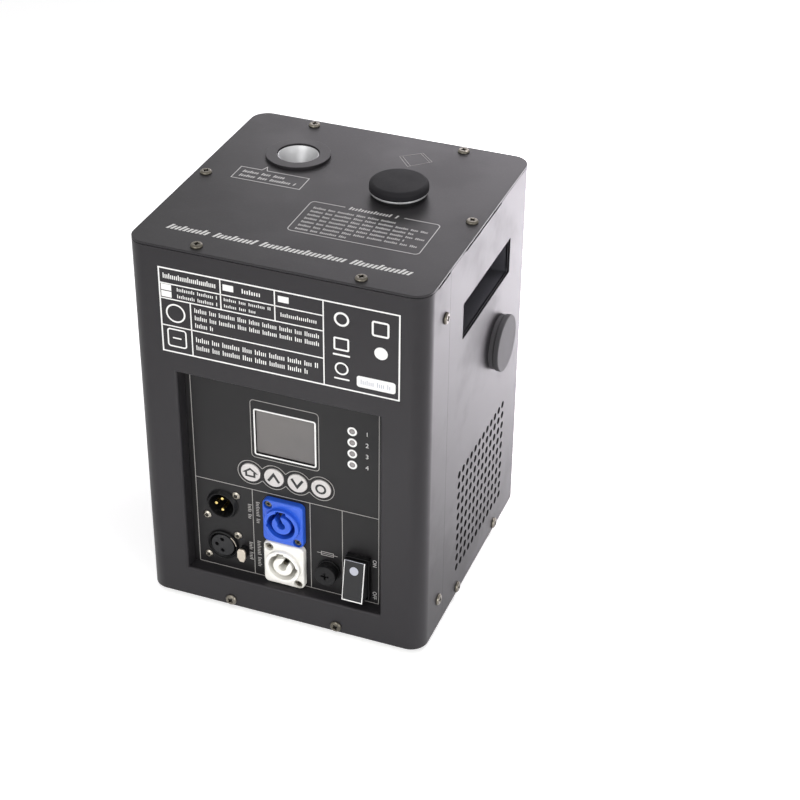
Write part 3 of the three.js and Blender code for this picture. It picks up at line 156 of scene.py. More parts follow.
def filleted(points, closed=True, steps=5):
    """Rounds each (x, y, radius) point that has a radius."""
    rounded = []
    count = len(points)
    for i, point in enumerate(points):
        x, y, radius = (*point, 0)[:3]
        if not radius or (not closed and i in (0, count - 1)):
            rounded.append((x, y))
            continue
        here = Vector((x, y))
        before = Vector(points[i - 1][:2]) - here
        after = Vector(points[(i + 1) % count][:2]) - here
        half = before.angle(after) / 2
        reach = min(radius / math.tan(half), 0.499 * before.length, 0.499 * after.length)
        radius = reach * math.tan(half)
        middle = here + (before.normalized() + after.normalized()).normalized() * radius / math.sin(half)
        start = here + before.normalized() * reach - middle
        end = here + after.normalized() * reach - middle
        turn = math.atan2(start.x * end.y - start.y * end.x, start.dot(end))
        for k in range(steps + 1):
            spoke = Matrix.Rotation(turn * k / steps, 2) @ start
            rounded.append(tuple(middle + spoke))
    return rounded


def rectangle(x0, x1, y0, y1, radius=0, steps=5):
    sharp = [(x0, y0, radius), (x1, y0, radius), (x1, y1, radius), (x0, y1, radius)]
    return filleted(sharp, steps=steps)


def disc(radius, x=0, y=0, steps=40):
    angles = [2 * math.pi * k / steps for k in range(steps)]
    return [(x + radius * math.cos(a), y + radius * math.sin(a)) for a in angles]


def band(points, width, closed=False):
    """The loops that bound a line of one width drawn through points."""
    half = width / 2
    sides = ([], [])
    count = len(points)
    for i, point in enumerate(points):
        here = Vector(point)
        ahead = Vector(points[(i + 1) % count]) - here if closed or i < count - 1 else None
        behind = here - Vector(points[i - 1]) if closed or i else None
        first = (behind or ahead).normalized()
        second = (ahead or behind).normalized()
        mitre = (first + second).normalized()
        reach = half / max(0.35, mitre.dot(first))
        out = Vector((mitre.y, -mitre.x)) * reach
        sides[0].append(tuple(here + out))
        sides[1].append(tuple(here - out))
    if closed:
        return list(sides)
    return [sides[0] + sides[1][::-1]]


# Meshes

def mesh_of(bm):
    mesh = bpy.data.meshes.new("work")
    bm.to_mesh(mesh)
    bm.free()
    return mesh


def working(data):
    thing = bpy.data.objects.new("work", data)
    bpy.context.scene.collection.objects.link(thing)
    return thing


def taken(thing):
    """The evaluated mesh of a working object, which is then removed."""
    bpy.context.view_layer.update()
    graph = bpy.context.evaluated_depsgraph_get()
    mesh = bpy.data.meshes.new_from_object(thing.evaluated_get(graph), depsgraph=graph)
    bpy.data.objects.remove(thing)
    return mesh


WELD = 0.0005


def healed(mesh):
    """Merges doubled points and turns the faces of each closed shell outwards."""
    bm = bmesh.new()
    bm.from_mesh(mesh)
    bmesh.ops.remove_doubles(bm, verts=bm.verts, dist=WELD)
    bmesh.ops.recalc_face_normals(bm, faces=bm.faces)
    return mesh_of(bm)


def joined(*meshes):
    bm = bmesh.new()
    for mesh in meshes:
        bm.from_mesh(mesh)
    return mesh_of(bm)


def moved(mesh, matrix):
    mesh = mesh.copy()
    mesh.transform(matrix)
    return mesh


def outline_curve(loops, fill):
    curve = bpy.data.curves.new("outline", "CURVE")
    curve.dimensions = "2D"
    curve.fill_mode = fill
    for loop in loops:
        spline = curve.splines.new("POLY")
        spline.points.add(len(loop) - 1)
        for point, (x, y) in zip(spline.points, loop):
            point.co = (x, y, 0, 1)
        spline.use_cyclic_u = True
    return curve


def plate(loops, low, high, edge=0.0, steps=2):
    """A flat plate between two heights, with holes and rounded edges."""
    curve = outline_curve(loops, "BOTH")
    curve.extrude = (high - low) / 2 - edge
    curve.bevel_depth = edge
    curve.bevel_resolution = steps
    curve.offset = -edge
    mesh = taken(working(curve))
    mesh.transform(Matrix.Translation((0, 0, (low + high) / 2)))
    return healed(mesh)


def lathe(profile, steps):
    """Turns (radius, height, fillet) points about the outward axis."""
    ends_on_axis = profile[0][0] == 0 and profile[-1][0] == 0
    line = filleted(profile, closed=not ends_on_axis)
    bm = bmesh.new()
    rings = []
    for radius, height in line:
        if radius < 1e-6:
            rings.append([bm.verts.new((0, 0, height))])
            continue
        rings.append([bm.verts.new((x, y, height)) for x, y in disc(radius, steps=steps)])
    pairs = list(zip(rings, rings[1:]))
    if not ends_on_axis:
        pairs.append((rings[-1], rings[0]))
    for first, second in pairs:
        if len(first) == 1 and len(second) == 1:
            continue
        for k in range(steps):
            quad = [
                first[k % len(first)], first[(k + 1) % len(first)],
                second[(k + 1) % len(second)], second[k % len(second)],
            ]
            bm.faces.new(list(dict.fromkeys(quad)))
    bmesh.ops.recalc_face_normals(bm, faces=bm.faces)
    return mesh_of(bm)


def bar(x0, x1, y0, y1, z0, z1):
    bm = bmesh.new()
    bmesh.ops.create_cube(bm, size=1)
    size = Matrix.Diagonal((x1 - x0, y1 - y0, z1 - z0, 1))
    place = Matrix.Translation(((x0 + x1) / 2, (y0 + y1) / 2, (z0 + z1) / 2))
    bm.transform(place @ size)
    return mesh_of(bm)


def rod(radius, low, high, steps):
    return lathe([(0, low), (radius, low), (radius, high), (0, high)], steps)


def turned(mesh, degrees):
    return moved(mesh, Matrix.Rotation(math.radians(degrees), 4, "Z"))


def carved(mesh, *cutters):
    for cutter in cutters:
        body = working(mesh)
        tool = working(cutter)
        cut = body.modifiers.new("cut", "BOOLEAN")
        cut.operation = "DIFFERENCE"
        cut.solver = "EXACT"
        cut.object = tool
        mesh = taken(body)
        bpy.data.objects.remove(tool)
    return mesh


def bevelled(body, width, angle):
    bevel = body.modifiers.new("soft edge", "BEVEL")
    bevel.width = width
    bevel.segments = 2
    bevel.limit_method = "ANGLE"
    bevel.angle_limit = math.radians(angle)


def softened(mesh, width, angle=50):
    body = working(mesh)
    bevelled(body, width, angle)
    return taken(body)


def lettering(text, height):
    """Raised plain lettering of one capital height."""
    curve = bpy.data.curves.new("lettering", "FONT")
    curve.body = text
    curve.size = height / 0.69
    curve.align_x = "CENTER"
    curve.align_y = "CENTER"
    curve.extrude = INK / 2
    return healed(taken(working(curve)))


def printed(*shapes):
    """Ink that stands a little proud of the face it is printed on. A shape is a set of loops."""
    return joined(*(plate(loops, INK, 2 * INK) for loops in shapes))


# Node trees

def added(tree, kind, inputs, **settings):
    """Adds a node. An input takes a plain value or another node's output."""
    node = tree.nodes.new(kind)
    for label, value in settings.items():
        setattr(node, label, value)
    for label, value in inputs.items():
        if isinstance(value, bpy.types.NodeSocket):
            tree.links.new(value, node.inputs[label])
        else:
            node.inputs[label].default_value = value
    return node


def new_group(name, kind, inputs, outputs):
    """A node group with what it is given and what is wanted of it. Sockets are (label, kind)."""
    tree = bpy.data.node_groups.new(name, kind)
    for side, sockets in (("INPUT", inputs), ("OUTPUT", outputs)):
        for label, socket in sockets:
            tree.interface.new_socket(label, in_out=side, socket_type="NodeSocket" + socket)
    return tree, tree.nodes.new("NodeGroupInput").outputs, tree.nodes.new("NodeGroupOutput").inputs


def math_node(tree, operation, first, second):
    return added(tree, "ShaderNodeMath", {0: first, 1: second}, operation=operation).outputs[0]


def times(tree, first, second):
    return math_node(tree, "MULTIPLY", first, second)


def plus(tree, first, second):
    return math_node(tree, "ADD", first, second)


def grown(thing, tree, values):
    """Runs a geometry node tree on a working object and takes the mesh it makes."""
    growth = thing.modifiers.new("growth", "NODES")
    growth.node_group = tree
    for item in tree.interface.items_tree:
        if item.in_out == "INPUT" and item.name in values:
            growth[item.identifier] = values[item.name]
    thing.update_tag()
    return taken(thing)


def hand_on(tree, geometry, given, wanted):
    """Ends a geometry tree: instances are made real and take the finish."""
    real = added(tree, "GeometryNodeRealizeInstances", {"Geometry": geometry})
    coat = added(tree, "GeometryNodeSetMaterial", {
        "Geometry": real.outputs["Geometry"], "Material": given["Finish"],
    })
    tree.links.new(coat.outputs["Geometry"], wanted["Geometry"])
    return tree


def vented_sheet_tree():
    """Fills a sheet's outlines after adding a grid of round holes to them."""
    tree, given, wanted = new_group("vented sheet", "GeometryNodeTree", [
        ("Geometry", "Geometry"), ("Columns", "Int"), ("Rows", "Int"), ("Pitch Across", "Float"),
        ("Pitch Up", "Float"), ("Hole Radius", "Float"), ("Hole Sides", "Int"), ("Grid Centre", "Vector"),
        ("Finish", "Material"),
    ], [("Geometry", "Geometry")])
    spans = []
    for count, pitch in (("Columns", "Pitch Across"), ("Rows", "Pitch Up")):
        gaps = math_node(tree, "SUBTRACT", given[count], 1)
        spans.append(times(tree, gaps, given[pitch]))
    grid = added(tree, "GeometryNodeMeshGrid", {
        "Size X": spans[0], "Size Y": spans[1], "Vertices X": given["Columns"], "Vertices Y": given["Rows"],
    })
    spread = added(tree, "GeometryNodeTransform", {
        "Geometry": grid.outputs["Mesh"], "Translation": given["Grid Centre"],
    })
    hole = added(tree, "GeometryNodeCurvePrimitiveCircle", {
        "Resolution": given["Hole Sides"], "Radius": given["Hole Radius"],
    })
    copies = added(tree, "GeometryNodeInstanceOnPoints", {
        "Points": spread.outputs["Geometry"], "Instance": hole.outputs["Curve"],
    })
    both = added(tree, "GeometryNodeJoinGeometry", {"Geometry": given["Geometry"]})
    tree.links.new(copies.outputs["Instances"], both.inputs["Geometry"])
    loose = added(tree, "GeometryNodeRealizeInstances", {"Geometry": both.outputs["Geometry"]})
    fill = added(tree, "GeometryNodeFillCurve", {"Curve": loose.outputs["Geometry"]})
    return hand_on(tree, fill.outputs["Mesh"], given, wanted)


POINT_VALUES = {"facing": "FLOAT_VECTOR", "turn": "FLOAT", "size": "FLOAT"}


def placed_copies_tree():
    """Puts a copy of one part on every point, faced, turned and sized by the point's own values."""
    tree, given, wanted = new_group("placed copies", "GeometryNodeTree", [
        ("Geometry", "Geometry"), ("Part", "Object"), ("Finish", "Material"),
    ], [("Geometry", "Geometry")])
    part = added(tree, "GeometryNodeObjectInfo", {"Object": given["Part"]})
    values = {}
    for label, kind in POINT_VALUES.items():
        value = added(tree, "GeometryNodeInputNamedAttribute", {"Name": label}, data_type=kind)
        values[label] = value.outputs["Attribute"]
    aim = added(tree, "FunctionNodeAlignRotationToVector", {"Vector": values["facing"]}, axis="Z")
    spin = added(tree, "FunctionNodeAxisAngleToRotation", {"Axis": (0, 0, 1), "Angle": values["turn"]})
    turn = added(tree, "FunctionNodeRotateRotation", {
        "Rotation": aim.outputs["Rotation"], "Rotate By": spin.outputs["Rotation"],
    }, rotation_space="LOCAL")
    points = added(tree, "GeometryNodeMeshToPoints", {"Mesh": given["Geometry"]})
    copies = added(tree, "GeometryNodeInstanceOnPoints", {
        "Points": points.outputs["Points"], "Instance": part.outputs["Geometry"],
        "Rotation": turn.outputs["Rotation"], "Scale": values["size"],
    })
    return hand_on(tree, copies.outputs["Instances"], given, wanted)


VENTED_SHEET = vented_sheet_tree()
PLACED_COPIES = placed_copies_tree()


def copies_of(part, places, finish):
    """places holds (plane, across, up, out, turn, size) for each copy."""
    mesh = bpy.data.meshes.new("places")
    spots = [at(*place[:5]) for place in places]
    mesh.from_pydata([spot.translation for spot in spots], [], [])
    for label, kind in POINT_VALUES.items():
        mesh.attributes.new(label, kind, "POINT")
    for i, (spot, place) in enumerate(zip(spots, places)):
        mesh.attributes["facing"].data[i].vector = spot.col[2].xyz
        mesh.attributes["turn"].data[i].value = place[4]
        mesh.attributes["size"].data[i].value = place[5]
    master = working(part)
    result = grown(working(mesh), PLACED_COPIES, {"Part": master, "Finish": FINISHES[finish][0]})
    bpy.data.objects.remove(master)
    return result


# Shader groups

def object_place(tree):
    return tree.nodes.new("ShaderNodeTexCoord").outputs["Object"]


def noise_node(tree, vector, scale, detail=2.0, roughness=0.5):
    return added(tree, "ShaderNodeTexNoise", {
        "Vector": vector, "Scale": scale, "Detail": detail, "Roughness": roughness,
    }).outputs["Fac"]


def between(tree, value, low, high, to_low=0.0, to_high=1.0):
    return added(tree, "ShaderNodeMapRange", {
        "Value": value, "From Min": low, "From Max": high, "To Min": to_low, "To Max": to_high,
    }, interpolation_type="SMOOTHSTEP").outputs["Result"]


def shader_group(name, inputs, outputs):
    inputs, outputs = ([(label, "Float") for label in side] for side in (inputs, outputs))
    return new_group(name, "ShaderNodeTree", inputs, outputs)


def coat_grain_group():
    """The fine pebbling of a sprayed and baked or moulded skin."""
    tree, given, wanted = shader_group("coat grain", ["Scale"], ["Height", "Flecks"])
    place = object_place(tree)
    soft = noise_node(tree, place, given["Scale"], 3.0, 0.55)
    cells = added(tree, "ShaderNodeTexVoronoi", {
        "Vector": place, "Scale": given["Scale"],
    }, feature="SMOOTH_F1")
    pebble = times(tree, cells.outputs["Distance"], 0.6)
    tree.links.new(plus(tree, soft, pebble), wanted["Height"])
    tiny = noise_node(tree, place, times(tree, given["Scale"], 2.3), 1.0)
    tree.links.new(between(tree, tiny, 0.60, 0.74), wanted["Flecks"])
    return tree


def handling_group():
    """Soft smudges from hands, hairline scratches and settled dust."""
    tree, given, wanted = shader_group("handling", ["Smudge Scale"], ["Smudge", "Scratches", "Dust"])
    place = object_place(tree)
    cloud = noise_node(tree, place, given["Smudge Scale"], 4.0, 0.6)
    tree.links.new(between(tree, cloud, 0.38, 0.68), wanted["Smudge"])
    stretch = added(tree, "ShaderNodeMapping", {
        "Vector": place, "Rotation": (0.4, 0.7, 0.3), "Scale": (900, 14, 14),
    })
    lines = between(tree, noise_node(tree, stretch.outputs["Vector"], 1.0, 1.0), 0.70, 0.78)
    breaks = between(tree, noise_node(tree, place, 45.0), 0.52, 0.64)
    tree.links.new(times(tree, lines, breaks), wanted["Scratches"])
    normal = tree.nodes.new("ShaderNodeNewGeometry").outputs["Normal"]
    upward = added(tree, "ShaderNodeSeparateXYZ", {0: normal})
    lying = between(tree, upward.outputs["Z"], 0.55, 1.0)
    specks = between(tree, noise_node(tree, place, 700.0, 2.0, 0.7), 0.50, 0.80)
    tree.links.new(times(tree, lying, specks), wanted["Dust"])
    return tree


def brushed_group():
    """Fine parallel lines left by rolling, drawing or brushing, and a faint mottle."""
    axes = ["Along X", "Along Y", "Along Z"]
    tree, given, wanted = shader_group("brushed lines", axes, ["Lines", "Mottle"])
    place = object_place(tree)
    scale = added(tree, "ShaderNodeCombineXYZ", {i: given[label] for i, label in enumerate(axes)})
    stretched = added(tree, "ShaderNodeVectorMath", {0: place, 1: scale.outputs[0]}, operation="MULTIPLY")
    tree.links.new(noise_node(tree, stretched.outputs[0], 1.0, 3.0, 0.6), wanted["Lines"])
    tree.links.new(between(tree, noise_node(tree, place, 60.0, 3.0), 0.35, 0.7), wanted["Mottle"])
    return tree


GRAIN = coat_grain_group()
HANDLING = handling_group()
BRUSHED = brushed_group()


# Finishes

FINISHES = {}
MICRON = 0.000001
HAND_SMUDGES = 14
FINE_SMUDGES = 60


def rgb(red, green, blue):
    """A colour as it is read off a picture, 0 to 255, made linear."""
    values = [c / 255 for c in (red, green, blue)]
    return tuple(c / 12.92 if c <= 0.04045 else ((c + 0.055) / 1.055) ** 2.4 for c in values) + (1.0,)


DUST = rgb(190, 186, 180)


def shaded(name, sockets):
    """A material, its node tree and its shader. In the names of sockets, _ stands for a space."""
    material = bpy.data.materials.new(name)
    material.use_nodes = True
    tree = material.node_tree
    shader = next(node for node in tree.nodes if node.type == "BSDF_PRINCIPLED")
    for label, value in sockets.items():
        shader.inputs[label.replace("_", " ")].default_value = value
    return material, tree, shader


def new_finish(name, slot, sockets):
    material, tree, shader = shaded(name, sockets)
    FINISHES[name] = (material, slot)
    return tree, shader


def placed_group(tree, group, **values):
    node = tree.nodes.new("ShaderNodeGroup")
    node.node_tree = group
    for label, value in values.items():
        node.inputs[label.replace("_", " ")].default_value = value
    return node.outputs


def mixed(tree, factor, first, second, blend="MIX"):
    colours = {0: factor, 6: first, 7: second}
    return added(tree, "ShaderNodeMix", colours, data_type="RGBA", blend_type=blend).outputs[2]


def bumped(tree, shader, height, distance):
    bump = added(tree, "ShaderNodeBump", {"Height": height, "Distance": distance})
    tree.links.new(bump.outputs["Normal"], shader.inputs["Normal"])


def skin(name, slot, colour, worn, rough, grain, depth, dust=0.25, marks=0.5, **sockets):
    """A coated, moulded or rubber surface: grain, smudges, hairlines and a little dust."""
    tree, shader = new_finish(name, slot, sockets)
    pebbles = placed_group(tree, GRAIN, Scale=grain)
    hands = placed_group(tree, HANDLING, Smudge_Scale=HAND_SMUDGES)
    worn = rgb(*worn)
    tint = mixed(tree, times(tree, hands["Smudge"], marks), rgb(*colour), worn)
    flecked = mixed(tree, times(tree, pebbles["Flecks"], 0.10), tint, worn, "ADD")
    dusted = mixed(tree, times(tree, hands["Dust"], dust * 0.25), flecked, DUST)
    tree.links.new(dusted, shader.inputs["Base Color"])
    gloss = between(tree, hands["Smudge"], 0, 1, *rough)
    scuffs = times(tree, hands["Scratches"], 0.12 * marks)
    tree.links.new(plus(tree, gloss, scuffs), shader.inputs["Roughness"])
    lowered = times(tree, hands["Scratches"], -0.6 * marks)
    bumped(tree, shader, plus(tree, pebbles["Height"], lowered), depth * MICRON)


def metal(name, slot, colour, worn, rough, lines=(20, 900, 900), depth=4):
    """A bare or plated metal: drawn lines, mottle and hairlines."""
    tree, shader = new_finish(name, slot, {"Metallic": 1.0})
    drawn = placed_group(tree, BRUSHED, Along_X=lines[0], Along_Y=lines[1], Along_Z=lines[2])
    hands = placed_group(tree, HANDLING, Smudge_Scale=FINE_SMUDGES)
    tree.links.new(mixed(tree, drawn["Mottle"], rgb(*colour), rgb(*worn)), shader.inputs["Base Color"])
    gloss = between(tree, drawn["Lines"], 0.25, 0.75, *rough)
    smudges = times(tree, hands["Smudge"], 0.05)
    tree.links.new(plus(tree, gloss, smudges), shader.inputs["Roughness"])
    bumped(tree, shader, math_node(tree, "SUBTRACT", drawn["Lines"], hands["Scratches"]), depth * MICRON)


def board_finish():
    """Green solder mask with faint lighter tracks."""
    tree, shader = new_finish("board", "circuit_board", {"Coat Weight": 0.4, "Coat Roughness": 0.2})
    spacing = {"Vector": object_place(tree), "Scale": 120.0, "Mortar Size": 0.05}
    tracks = added(tree, "ShaderNodeTexBrick", spacing)
    hands = placed_group(tree, HANDLING, Smudge_Scale=HAND_SMUDGES)
    line = times(tree, tracks.outputs["Fac"], hands["Smudge"])
    tree.links.new(mixed(tree, line, rgb(24, 84, 52), rgb(58, 128, 84)), shader.inputs["Base Color"])
    tree.links.new(between(tree, hands["Smudge"], 0, 1, 0.3, 0.45), shader.inputs["Roughness"])
    bumped(tree, shader, line, 30 * MICRON)


def screen_finish():
    """An unlit grey display under a clear window, with its fine dot grid."""
    tree, shader = new_finish("display", "display_glass", {
        "Coat Weight": 0.8, "Coat Roughness": 0.08, "Roughness": 0.5,
    })
    place = object_place(tree)
    upright_place = added(tree, "ShaderNodeMapping", {"Vector": place, "Rotation": (math.radians(90), 0, 0)})
    dots = added(tree, "ShaderNodeTexBrick", {
        "Vector": upright_place.outputs["Vector"], "Scale": 1700.0, "Brick Width": 0.5, "Row Height": 0.5,
        "Mortar Size": 0.06,
    }, offset=0)
    cloud = between(tree, noise_node(tree, place, 30.0, 2.0), 0.3, 0.75)
    base = mixed(tree, cloud, rgb(66, 62, 61), rgb(74, 69, 67))
    lined = mixed(tree, times(tree, dots.outputs["Fac"], 0.18), base, rgb(77, 72, 71))
    tree.links.new(lined, shader.inputs["Base Color"])


# A skin's row holds its slot, colour, worn colour, roughness, grain per metre, depth in microns,
# dust and marks. A metal's holds its slot, colour, worn colour, roughness, lines per metre and depth.
skin("powder coat", "case_paint", (30, 29, 31), (34, 33, 35), (0.4, 0.47), 1100, 8, 0.08, 0.4,
     Specular_IOR_Level=0.3, Specular_Tint=(1, 0.96, 0.99, 1))
skin("pocket plastic", "black_plastic", (70, 70, 75), (76, 76, 81), (0.36, 0.46), 1300, 10,
     Specular_IOR_Level=0.4)
skin("panel film", "case_paint", (22, 21, 22), (26, 25, 26), (0.42, 0.5), 1500, 6, 0.1,
     Specular_IOR_Level=0.25)
skin("black plastic", "black_plastic", (14, 14, 15), (18, 18, 19), (0.42, 0.52), 1300, 10,
     Specular_IOR_Level=0.2)
skin("dark insert", "black_plastic", (21, 21, 23), (25, 25, 27), (0.42, 0.52), 1400, 10,
     Specular_IOR_Level=0.35)
skin("rubber", "black_rubber", (26, 25, 28), (30, 29, 32), (0.65, 0.75), 1400, 6, 0.03,
     Specular_IOR_Level=0.2)
skin("worn rubber", "black_rubber", (68, 67, 69), (74, 73, 75), (0.65, 0.75), 1400, 6, 0.05,
     Specular_IOR_Level=0.25)
skin("blue plastic", "blue_plastic", (36, 86, 198), (42, 92, 204), (0.3, 0.4), 1400, 4, 0.05)
skin("white plastic", "white_plastic", (234, 232, 226), (226, 224, 217), (0.32, 0.42), 1400, 4, 0.05)
skin("pale plastic", "pale_plastic", (197, 193, 191), (188, 184, 182), (0.35, 0.45), 1400, 5, 0.1)
skin("lens plastic", "clear_plastic", (122, 118, 116), (134, 130, 128), (0.2, 0.3), 1400, 3, 0.1,
     Coat_Weight=0.5)
skin("fibre", "ceramic_fibre", (230, 224, 208), (208, 200, 182), (0.85, 0.95), 700, 120, 0.1)
for name, slot, colour, worn in (
    ("white ink", "white_plastic", (232, 231, 229), (218, 217, 215)),
    ("pale ink", "white_plastic", (206, 204, 203), (190, 188, 186)),
    ("cool ink", "pale_plastic", (176, 178, 188), (164, 166, 176)),
    ("grey ink", "pale_plastic", (158, 155, 152), (146, 143, 140)),
    ("black ink", "black_plastic", (18, 18, 20), (24, 24, 26)),
):
    skin(name, slot, colour, worn, (0.5, 0.6), 2600, 4, 0.1)
metal("polished steel", "bright_steel", (226, 226, 224), (214, 214, 211), (0.12, 0.24), (300, 300, 40))
metal("satin steel", "bright_steel", (192, 192, 193), (184, 184, 185), (0.46, 0.5), (60, 60, 60), 0.4)
metal("plain steel", "plain_steel", (158, 158, 155), (140, 140, 138), (0.32, 0.45))
metal("nickel tab", "plain_steel", (196, 187, 174), (180, 171, 158), (0.4, 0.5))
metal("nickel bronze", "screw_metal", (122, 117, 108), (92, 88, 80), (0.26, 0.38), (400, 400, 400))
metal("bright nickel", "screw_metal", (160, 155, 145), (138, 132, 122), (0.22, 0.32), (400, 400, 400))
# Contact metal, kept dark as partly painted shade for the deep socket slots.
metal("contact metal with painted shade", "contact_metal", (92, 88, 78), (74, 70, 62), (0.35, 0.5))
metal("gold", "contact_metal", (232, 210, 140), (214, 188, 116), (0.18, 0.28))
metal("copper", "coil_metal", (186, 118, 76), (160, 96, 60), (0.28, 0.42))
metal("alloy", "light_alloy", (186, 189, 193), (168, 171, 175), (0.35, 0.5))
board_finish()
screen_finish()


SMOOTH_UP_TO = 35


def finished(name, mesh, finish, place=None, body="chassis", stands_for=()):
    """Puts a mesh in its place, gives it its finish and lets it ride on its body."""
    if place:
        mesh.transform(place)
    mesh.transform(Matrix.Scale(MM, 4))
    mesh.name = name
    material, slot = FINISHES[finish]
    mesh.materials.clear()
    mesh.materials.append(material)
    mesh.polygons.foreach_set("material_index", [0] * len(mesh.polygons))
    mesh.polygons.foreach_set("use_smooth", [True] * len(mesh.polygons))
    mesh.set_sharp_from_angle(angle=math.radians(SMOOTH_UP_TO))
    piece = bpy.data.objects.new(name, mesh)
    bpy.context.scene.collection.objects.link(piece)
    even = piece.modifiers.new("even shading", "WEIGHTED_NORMAL")
    even.keep_sharp = True
    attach(piece, body)
    if stands_for:
        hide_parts(*stands_for)


# Folded sheets

def folded(mesh, path):
    """Folds a flat sheet, drawn along X and Z-up as Y, round a plan path of (x, y) points."""
    marks = [0.0]
    for first, second in zip(path, path[1:]):
        marks.append(marks[-1] + (Vector(second) - Vector(first)).length)
    bm = bmesh.new()
    bm.from_mesh(mesh)
    for mark in marks[1:-1]:
        parts = bm.verts[:] + bm.edges[:] + bm.faces[:]
        bmesh.ops.bisect_plane(bm, geom=parts, plane_co=(mark, 0, 0), plane_no=(1, 0, 0), dist=1e-4)
    bmesh.ops.remove_doubles(bm, verts=bm.verts, dist=WELD)
    for vert in bm.verts:
        along = min(max(vert.co.x, 0.0), marks[-1])
        i = next(k for k in range(len(marks) - 1) if along <= marks[k + 1] + 1e-6)
        share = (along - marks[i]) / (marks[i + 1] - marks[i])
        spot = Vector(path[i]).lerp(Vector(path[i + 1]), share)
        vert.co = (spot.x, spot.y, vert.co.y)
    return bm


def distance_along(path, x, y):
    """How far along a plan path the point nearest to (x, y) lies."""
    target = Vector((x, y))
    best = (1e9, 0.0)
    walked = 0.0
    for first, second in zip(path, path[1:]):
        start, step = Vector(first), Vector(second) - Vector(first)
        share = min(max((target - start).dot(step) / step.length_squared, 0.0), 1.0)
        best = min(best, ((start + step * share - target).length, walked + share * step.length))
        walked += step.length
    return best[1]


def flat_sheet(loops, vents=None):
    """A flat face inside the outlines, with the vent grid's holes centred on vents."""
    curve = outline_curve(loops, "NONE" if vents else "BOTH")
    if not vents:
        return taken(working(curve))
    return grown(working(curve), VENTED_SHEET, {
        "Columns": VENT_COLUMNS, "Rows": VENT_ROWS, "Pitch Across": VENT_PITCH_Y, "Pitch Up": VENT_PITCH_Z,
        "Hole Radius": VENT_RADIUS, "Hole Sides": 24, "Grid Centre": (*vents, 0.0),
        "Finish": FINISHES["powder coat"][0],
    })


def thickened(bm, outward, name, stands_for):
    """Turns the sheet's faces outwards, gives it its thickness on the inside and finishes it."""
    bmesh.ops.recalc_face_normals(bm, faces=bm.faces)
    probe = max(bm.faces, key=lambda one: one.calc_center_median().dot(outward))
    if probe.normal.dot(outward) < 0:
        bmesh.ops.reverse_faces(bm, faces=bm.faces)
    body = working(mesh_of(bm))
    wall = body.modifiers.new("wall", "SOLIDIFY")
    wall.thickness = SHEET
    wall.offset = -1
    wall.use_even_offset = True
    bevelled(body, 0.22, 50)
    finished(name, taken(body), "powder coat", stands_for=stands_for)


def notched(length, low, high, notches):
    """A sheet's outline with notches in its top edge."""
    line = [(0, low), (length, low), (length, high)]
    for start, end in sorted(notches, reverse=True):
        line += [(end, high), (end, high - SLIT), (start, high - SLIT), (start, high)]
    return line + [(0, high)]


def path_length(path):
    return sum((Vector(b) - Vector(a)).length for a, b in zip(path, path[1:]))


def front_cover():
    path = filleted([
        (-SIDE, SEAM), (-SIDE, FRONT, EDGE_RADIUS), (SIDE, FRONT, EDGE_RADIUS), (SIDE, SEAM),
    ], closed=False, steps=10)
    length = path_length(path)
    half = length / 2
    slit = tuple(distance_along(path, SIDE, FRONT + start) for start in FRONT_SLIT)
    mirrored = (length - slit[1], length - slit[0])
    outline = notched(length, SHELL_LOW, SHELL_TOP, [slit, mirrored])
    reach = RECESS_SIDE + FOLD
    opening = rectangle(half - reach, half + reach, RECESS_LOW - FOLD, RECESS_TOP + FOLD)
    bm = folded(flat_sheet([outline, opening]), path)
    rim = [edge for edge in bm.edges if edge.is_boundary and all(
        abs(v.co.x) < RECESS_SIDE + 2 * FOLD and RECESS_LOW - 2 * FOLD < v.co.z < RECESS_TOP + 2 * FOLD
        for v in edge.verts)]
    middle = (RECESS_LOW + RECESS_TOP) / 2
    half_height = (RECESS_TOP - RECESS_LOW) / 2
    last = (reach, half_height + FOLD)
    steps = [(FOLD - FOLD * math.sin(a), FOLD - FOLD * math.cos(a)) for a in
             (math.radians(18 * k) for k in range(1, 6))]
    steps.append((0, PANEL - FRONT - 0.1))
    for inset, depth in steps:
        ring = bmesh.ops.extrude_edge_only(bm, edges=rim)["geom"]
        size = (RECESS_SIDE + inset, half_height + inset)
        for vert in (g for g in ring if isinstance(g, bmesh.types.BMVert)):
            vert.co.x *= size[0] / last[0]
            vert.co.z = middle + (vert.co.z - middle) * size[1] / last[1]
            vert.co.y = FRONT + depth
        rim = [g for g in ring if isinstance(g, bmesh.types.BMEdge)]
        last = size
    thickened(bm, Vector((0, -1, 0)), "front_cover", ["front_shell"])


